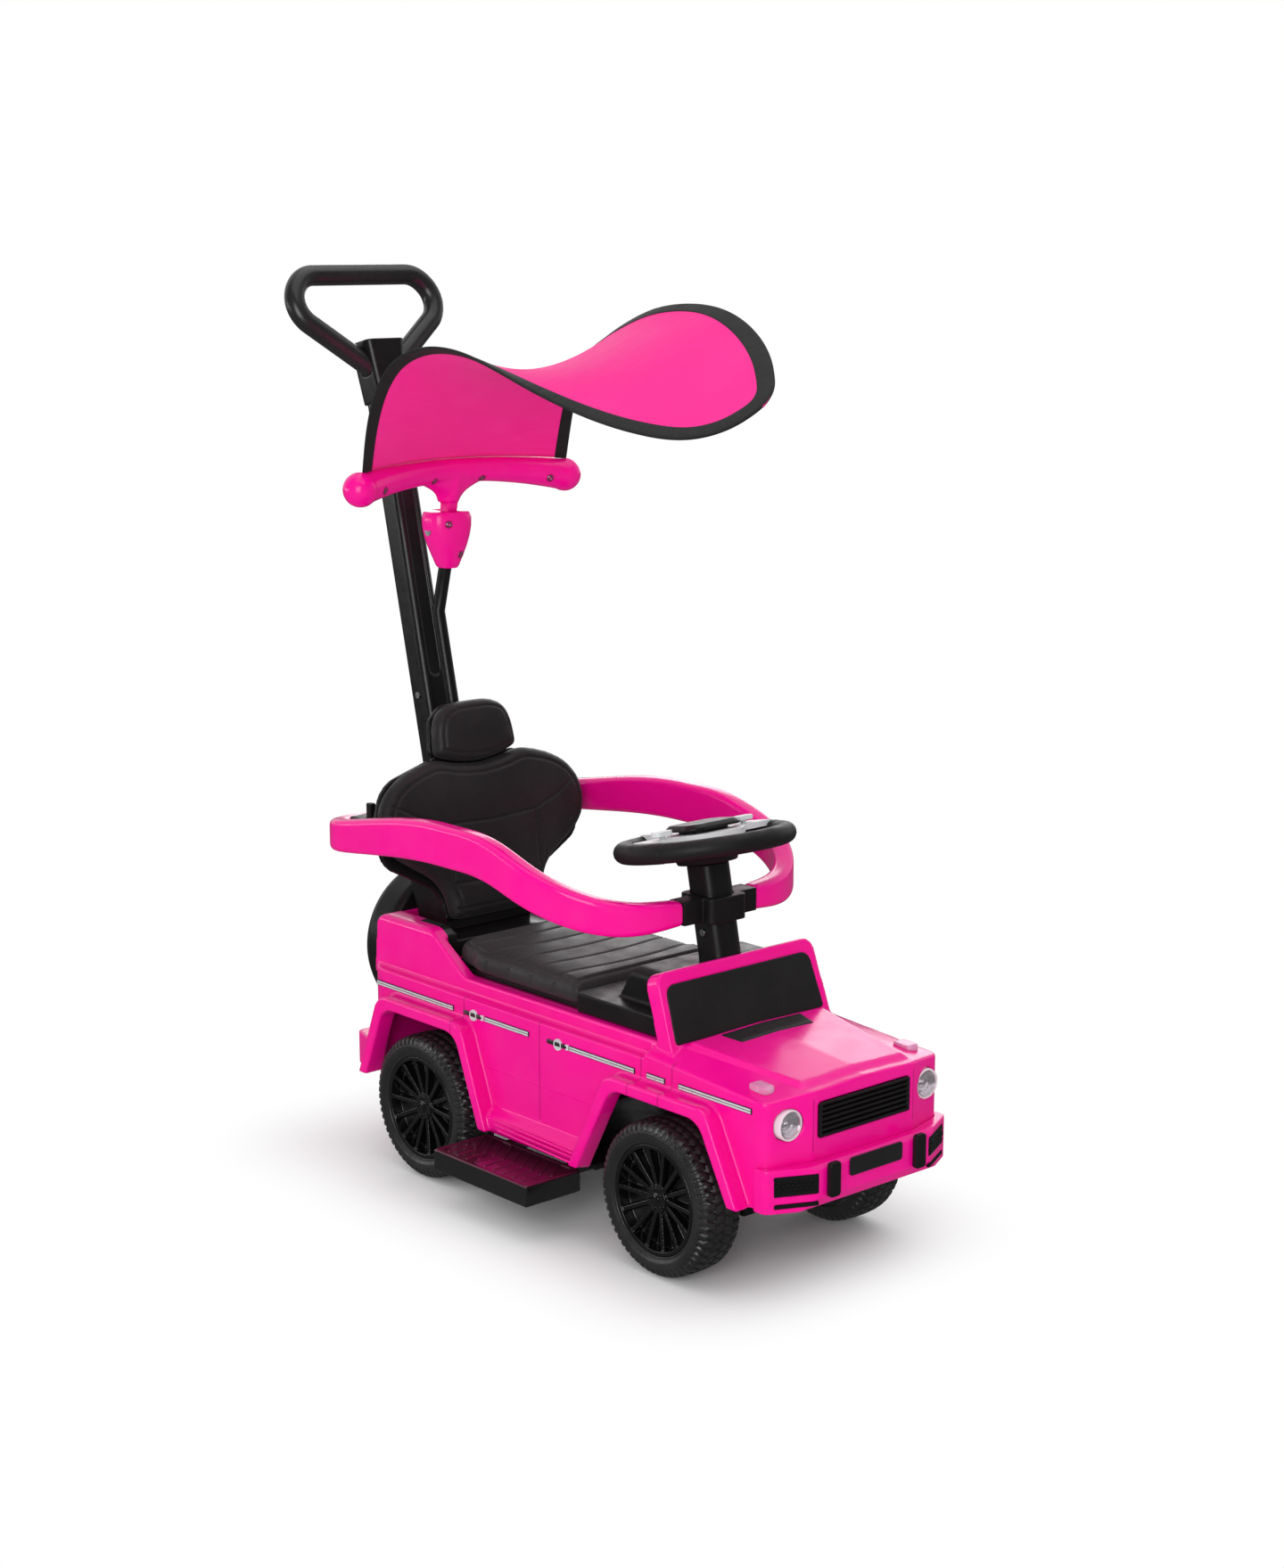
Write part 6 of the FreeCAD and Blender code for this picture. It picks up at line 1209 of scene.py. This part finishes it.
BACK_HALF = milli([(0, 0.5), (35, 0.5), (60, 1), (66.5, 5), (69.5, 22), (75, 38), (88, 53), (108, 66),
                   (130, 81), (143, 98), (147.5, 118), (143, 140), (129, 159), (107, 173), (82, 181),
                   (60, 184.2), (34, 178.5), (0, 175)])
BACK_LOOP = rounded_loop(both_sides(BACK_HALF), 240)
BACK_LEVELS = [(-15.7, 5), (-15, 2.6), (-11.8, 0.4), (-6, 0), (-1.2, 1.6), (2.8, 5.2), (5.4, 11),
               (6.8, 20), (7.3, 30)]
BACK_LINES = [as_pairs(drawn_in(BACK_LOOP, 0.0120))[::4]]
for seam in ([(-132, 141), (-104, 125), (-66, 111), (0, 108), (66, 111), (104, 125), (132, 141)],
             [(-66, 111), (-63, 48)], [(66, 111), (63, 48)], [(-63, 42), (0, 40), (63, 42)]):
    BACK_LINES.append(milli(seam))
back_pad = cushion("backrest_cushion", pad_form(BACK_LOOP, BACK_LEVELS, back_place), back_leather, back_of,
                   BACK_LINES, faces_ahead, on_shell, voxel=0.0045, cap=0.0040, groove=0.0015)
BACK_SEWN = [as_pairs(drawn_in(BACK_LOOP, 0.0155))[::4], [(y, s + SEWN_BESIDE) for y, s in BACK_LINES[1]]]
stitches("backrest_stitches", back_pad, BACK_SEWN, back_lay, "car")
HEAD_HALF = milli([(0, 177), (28, 180), (50, 186), (56.5, 190.5), (56.8, 200), (55, 216), (50.5, 230),
                   (41, 240.5), (24, 246.2), (0, 247)])
HEAD_LOOP = rounded_loop(both_sides(HEAD_HALF), 160)
HEAD_LEVELS = [(-15.7, 4.4), (-14.8, 2), (-11, 0.2), (-5, 0), (0.2, 1.8), (4, 5.6), (6.2, 11), (7, 17)]
HEAD_LINES = [as_pairs(drawn_in(HEAD_LOOP, 0.0085))[::3]]
head_pad = cushion("headrest_cushion", pad_form(HEAD_LOOP, HEAD_LEVELS, back_place), back_leather, back_of,
                   HEAD_LINES, faces_ahead, on_shell, voxel=0.0035, cap=0.0035, groove=0.0013)
stitches("headrest_stitches", head_pad, [as_pairs(drawn_in(HEAD_LOOP, 0.0115))[::3]], back_lay, "car")


# Canopy

def spline(points):
    """Smooth curve through points; takes a share of its chord length from 0 to 1."""
    count = len(points)
    knots = [0.0]
    for a, b in zip(points, points[1:]):
        knots.append(knots[-1] + (b - a).length)
    gaps = [b - a for a, b in zip(knots, knots[1:])]
    bend = [Vector() for point in points]
    upper = [0.0] * count
    value = [Vector() for point in points]
    for i in range(1, count - 1):
        slope = (points[i + 1] - points[i]) / gaps[i] - (points[i] - points[i - 1]) / gaps[i - 1]
        scale = 2 * (gaps[i - 1] + gaps[i]) - gaps[i - 1] * upper[i - 1]
        upper[i] = gaps[i] / scale
        value[i] = (slope * 6 - value[i - 1] * gaps[i - 1]) / scale
    for i in range(count - 2, 0, -1):
        bend[i] = value[i] - bend[i + 1] * upper[i]

    def curve(share):
        at = share * knots[-1]
        i = 0
        while i < count - 2 and at > knots[i + 1]:
            i += 1
        h = gaps[i]
        a = (knots[i + 1] - at) / h
        b = (at - knots[i]) / h
        curl = bend[i] * (a ** 3 - a) + bend[i + 1] * (b ** 3 - b)
        return points[i] * a + points[i + 1] * b + curl * (h * h / 6)

    return curve


def mm(*points):
    return [Vector(point) * 0.001 for point in points]


CANOPY_RIGHT = spline(mm((-219, -144, 789.9), (-210, -142, 847), (-177, -138, 905), (-116, -132, 927),
                         (-39, -125, 915), (29, -117, 890), (88, -108, 870), (186, -95, 850),
                         (242, -79, 849), (270, -53, 861), (282, -24, 880)))
CANOPY_LEFT = spline(mm((-219, 144, 789.9), (-196, 136, 847), (-156, 122, 900), (-102, 112, 934),
                        (-53, 104, 953), (-3, 96, 966), (49, 90, 971), (117, 76, 967), (187, 54, 947),
                        (236, 29, 922), (271, 1, 900)))
CANOPY_ARCH = 0.0065
CANOPY_SAG = 0.032
CANOPY_SAG_END = 0.7
CANOPY_FRONT_PUSH = 0.003
CANOPY_REAR_PUSH = 0.024


def canopy_point(t, s):
    """Point of the cloth at a share along it and a share from its right to its left edge."""
    a, b = CANOPY_RIGHT(t), CANOPY_LEFT(t)
    bulge = 4 * s * (1 - s)
    rear = max(0.0, 1 - 4 * t) ** 2
    front = max(0.0, 5 * t - 4) ** 2
    rise = CANOPY_ARCH * rear - CANOPY_SAG * math.sin(math.pi * min(1.0, t / CANOPY_SAG_END)) ** 2
    push = CANOPY_FRONT_PUSH * front - CANOPY_REAR_PUSH * rear
    return a + (b - a) * s + Vector((push, 0, rise)) * bulge


def even_run(points, ups, deeper, count):
    """The same run with evenly spaced points, and what goes with each point."""
    lengths = [0.0]
    for a, b in zip(points, points[1:]):
        lengths.append(lengths[-1] + (b - a).length)
    out = ([], [], [])
    k = 0
    for index in range(count + 1):
        at = lengths[-1] * index / count
        while k < len(points) - 2 and lengths[k + 1] < at:
            k += 1
        share = (at - lengths[k]) / (lengths[k + 1] - lengths[k])
        for run, values in zip(out, (points, ups, deeper)):
            run.append(values[k].lerp(values[k + 1], share))
    return out


def calmed(run, turns, unit=True):
    """A run of vectors, each drawn toward its neighbours, with both ends kept."""
    for turn in range(turns):
        inner = [a + b * 2 + c for a, b, c in zip(run, run[1:], run[2:])]
        run = [run[0]] + [v.normalized() if unit else v / 4 for v in inner] + [run[-1]]
    return run


def canopy():
    """One shade sheet between its two edges, and the binding sewn round three of its sides."""
    along, across = 150, 72
    off_bow, half_thick = 0.0011, 0.0009
    points = [[canopy_point(i / along, j / across) for j in range(across + 1)] for i in range(along + 1)]
    normals = []
    for i in range(along + 1):
        row = []
        for j in range(across + 1):
            du = points[min(i + 1, along)][j] - points[max(i - 1, 0)][j]
            dv = points[i][min(j + 1, across)] - points[i][max(j - 1, 0)]
            row.append(du.cross(dv).normalized())
        normals.append(row)
    if normals[along // 2][across // 2].z < 0:
        normals = [[-n for n in row] for row in normals]
    middle = [[p + n * off_bow for p, n in zip(*rows)] for rows in zip(points, normals)]
    lengths = [0.0]
    for i in range(along):
        lengths.append(lengths[-1] + (middle[i + 1][across // 2] - middle[i][across // 2]).length)
    maker = bmesh.new()
    layer = maker.loops.layers.uv.new("UVMap")
    faces = {}
    for name, lift in (("top", half_thick), ("under", -half_thick)):
        faces[name] = [[maker.verts.new(p + n * lift) for p, n in zip(*rows)]
                       for rows in zip(middle, normals)]
    uv_of = {}
    for name in faces:
        for i in range(along + 1):
            wide = (middle[i][-1] - middle[i][0]).length
            for j in range(across + 1):
                uv_of[faces[name][i][j]] = (lengths[i], wide * (j / across - 0.5))
    top, under = faces["top"], faces["under"]
    gridded(maker, top)
    gridded(maker, under)
    ring = [(i, 0) for i in range(along)] + [(along, j) for j in range(across)]
    ring += [(i, across) for i in range(along, -1, -1)]
    rim = ring + [(0, j) for j in range(across - 1, 0, -1)]
    for (i, j), (k, m) in zip(rim, rim[1:] + rim[:1]):
        maker.faces.new((top[i][j], top[k][m], under[k][m], under[i][j]))
    for face in maker.faces:
        for loop in face.loops:
            loop[layer].uv = uv_of[loop.vert]
    mesh = finished(maker, "canopy_sheet")
    sheet = add_object("canopy_sheet", mesh, [canopy_pink], "canopy")
    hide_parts("canopy_cloth")

    flat = [p for row in middle for p in row]
    wide = across + 1
    quads = [(i * wide + j, (i + 1) * wide + j, (i + 1) * wide + j + 1, i * wide + j + 1)
             for i in range(along) for j in range(across)]
    tree = BVHTree.FromPolygons(flat, quads)
    path, ups, deeper = even_run([middle[i][j] for i, j in ring], [normals[i][j] for i, j in ring],
                                 [middle[min(i, along - 8)][min(max(j, 8), across - 8)] for i, j in ring],
                                 380)
    path = calmed(path, 12, False)
    ups = calmed(ups, 12)
    section = [(14.3, 0.2), (13.9, 1.5), (12.8, 1.75), (9.0, 1.8), (5.0, 1.8), (1.6, 1.75), (-0.2, 1.35),
               (-1.1, 0.6), (-1.3, 0.0), (-1.1, -0.6), (-0.2, -1.35), (1.6, -1.75), (5.0, -1.8), (9.0, -1.8),
               (12.8, -1.75), (13.9, -1.5), (14.3, -0.2)]
    inward_of = []
    for index, point in enumerate(path):
        tangent = (path[min(index + 2, len(path) - 1)] - path[max(index - 2, 0)]).normalized()
        inward = ups[index].cross(tangent).normalized()
        inward_of.append(inward if inward.dot(deeper[index] - point) > 0 else -inward)
    inward_of = calmed(inward_of, 70)
    rows = []
    for index, point in enumerate(path):
        share = index / (len(path) - 1)
        wider = 1.0 + 0.28 * eased(share, 0.30, 0.48) * eased(share, 0.74, 0.58)
        row = []
        for inside, lift in section:
            up = ups[index]
            if inside > 1:
                reach = inward_of[index] * (inside * wider * 0.001)
                spot, normal = tree.find_nearest(point + reach)[:2]
                up = normal if normal.dot(up) > 0 else -normal
            else:
                spot = point + inward_of[index] * (inside * 0.001)
            row.append(spot + up * (lift * 0.001))
        rows.append(row)
    maker = bmesh.new()
    layer = maker.loops.layers.uv.new("UVMap")
    grid = [[maker.verts.new(p) for p in row] for row in rows]
    run = 0.0
    for index in range(len(grid) - 1):
        step = (path[index + 1] - path[index]).length
        for k in range(len(section)):
            m = (k + 1) % len(section)
            face = maker.faces.new((grid[index][k], grid[index][m], grid[index + 1][m], grid[index + 1][k]))
            corners = ((run, k), (run, k + 1), (run + step, k + 1), (run + step, k))
            for loop, (u, v) in zip(face.loops, corners):
                loop[layer].uv = (u, v * 0.002)
        run += step
    for end in (grid[0], grid[-1]):
        maker.faces.new(end)
    band = built("canopy_binding", maker, binding_black, "canopy")


canopy()


# Stage, light and camera

WHITE = (1, 1, 1, 1)


def stage_floor():
    """Pale floor that keeps the shadow near the car and goes over to white further out."""
    mesh = bpy.data.meshes.new("floor")
    reach = 30.0
    mesh.from_pydata([(-reach, -reach, 0), (reach, -reach, 0), (reach, reach, 0), (-reach, reach, 0)], [],
                     [(0, 1, 2, 3)])
    paint = Paint("floor_white", (0.9, 0.9, 0.9), 0.9)
    flat = paint.axes()
    out = []
    for axis, half in ((0, 0.29), (1, 0.12)):
        beyond = paint.maths("SUBTRACT", paint.maths("ABSOLUTE", flat[axis]), half)
        beyond = paint.maths("MAXIMUM", beyond, 0.0)
        out.append(paint.times(beyond, beyond))
    far = paint.maths("SQRT", paint.maths("ADD", out[0], out[1]))
    rays = paint.add("LightPath").outputs
    seen = paint.maths("MAXIMUM", rays["Is Camera Ray"], rays["Is Transmission Ray"])
    surface = paint.shader.outputs[0]
    for share, level in ((paint.times(paint.ramp(far, 0.0, 0.19), seen), 1.0), (rays["Is Glossy Ray"], 0.12)):
        glow = paint.add("Emission", Color=WHITE, Strength=level)
        surface = paint.mixed(share, surface, glow.outputs[0])
    paint.join(surface, paint.tree.nodes["Material Output"].inputs["Surface"])
    mesh.materials.append(paint.mat)
    floor = linked("floor", mesh)


def area_light(name, place, aim, size, power):
    light = bpy.data.lights.new(name, "AREA")
    light.shape = "RECTANGLE"
    light.size, light.size_y = size
    light.energy = power
    lamp = linked(name, light)
    lamp.location = place
    lamp.rotation_euler = (Vector(aim) - Vector(place)).to_track_quat("-Z", "Y").to_euler()


stage_floor()
area_light("overhead", (0.2, 0.1, 2.6), (0, 0, 0.3), (2.6, 2.2), 17.0)
area_light("front_right", (1.9, -2.6, 1.2), (0, 0, 0.4), (1.6, 1.8), 44.0)
area_light("rear_left", (-1.9, 2.1, 1.2), (0, 0, 0.4), (1.8, 1.2), 16.0)
area_light("rear_right", (-2.2, -2.3, 0.75), (0, 0, 0.35), (2.2, 0.3), 9.0)


def studio_world():
    """Even white light and backdrop; reflections see a bright side behind the car and a dim one ahead."""
    world = bpy.data.worlds.new("studio")
    scene.world = world
    world.use_nodes = True
    sky = Nodes(world.node_tree)
    even = sky.tree.nodes["Background"]
    even.inputs["Color"].default_value = WHITE
    even.inputs["Strength"].default_value = 0.7
    rays = sky.add("LightPath").outputs
    side = sky.add("VectorMath")
    side.operation = "DOT_PRODUCT"
    side.inputs[1].default_value = (-0.745, 0.667, 0.25)
    sky.join(sky.add("TexCoord").outputs["Generated"], side.inputs[0])
    mirrored = sky.add("Background", Color=WHITE, Strength=sky.ramp(side.outputs["Value"], -0.1, 0.7, 0.07,
            0.8))
    white = sky.add("Background", Color=WHITE)
    surface = sky.mixed(rays["Is Glossy Ray"], even.outputs[0], mirrored.outputs[0])
    seen = sky.maths("MAXIMUM", rays["Is Camera Ray"], rays["Is Transmission Ray"])
    surface = sky.mixed(seen, surface, white.outputs[0])
    sky.join(surface, sky.tree.nodes["World Output"].inputs["Surface"])


studio_world()
CAMERA_PLACE = Vector((2.1505, -1.8541, 1.0466))
CAMERA_AIM = Vector((-0.0279, 0.0925, 0.4392))
lens = bpy.data.cameras.new("photo_view")
lens.sensor_width = 36.0
lens.lens = 60.86
camera = linked("photo_view", lens)
camera.location = CAMERA_PLACE
camera.rotation_euler = (CAMERA_AIM - CAMERA_PLACE).to_track_quat("-Z", "Y").to_euler()
scene.camera = camera
scene.view_settings.view_transform = "Standard"
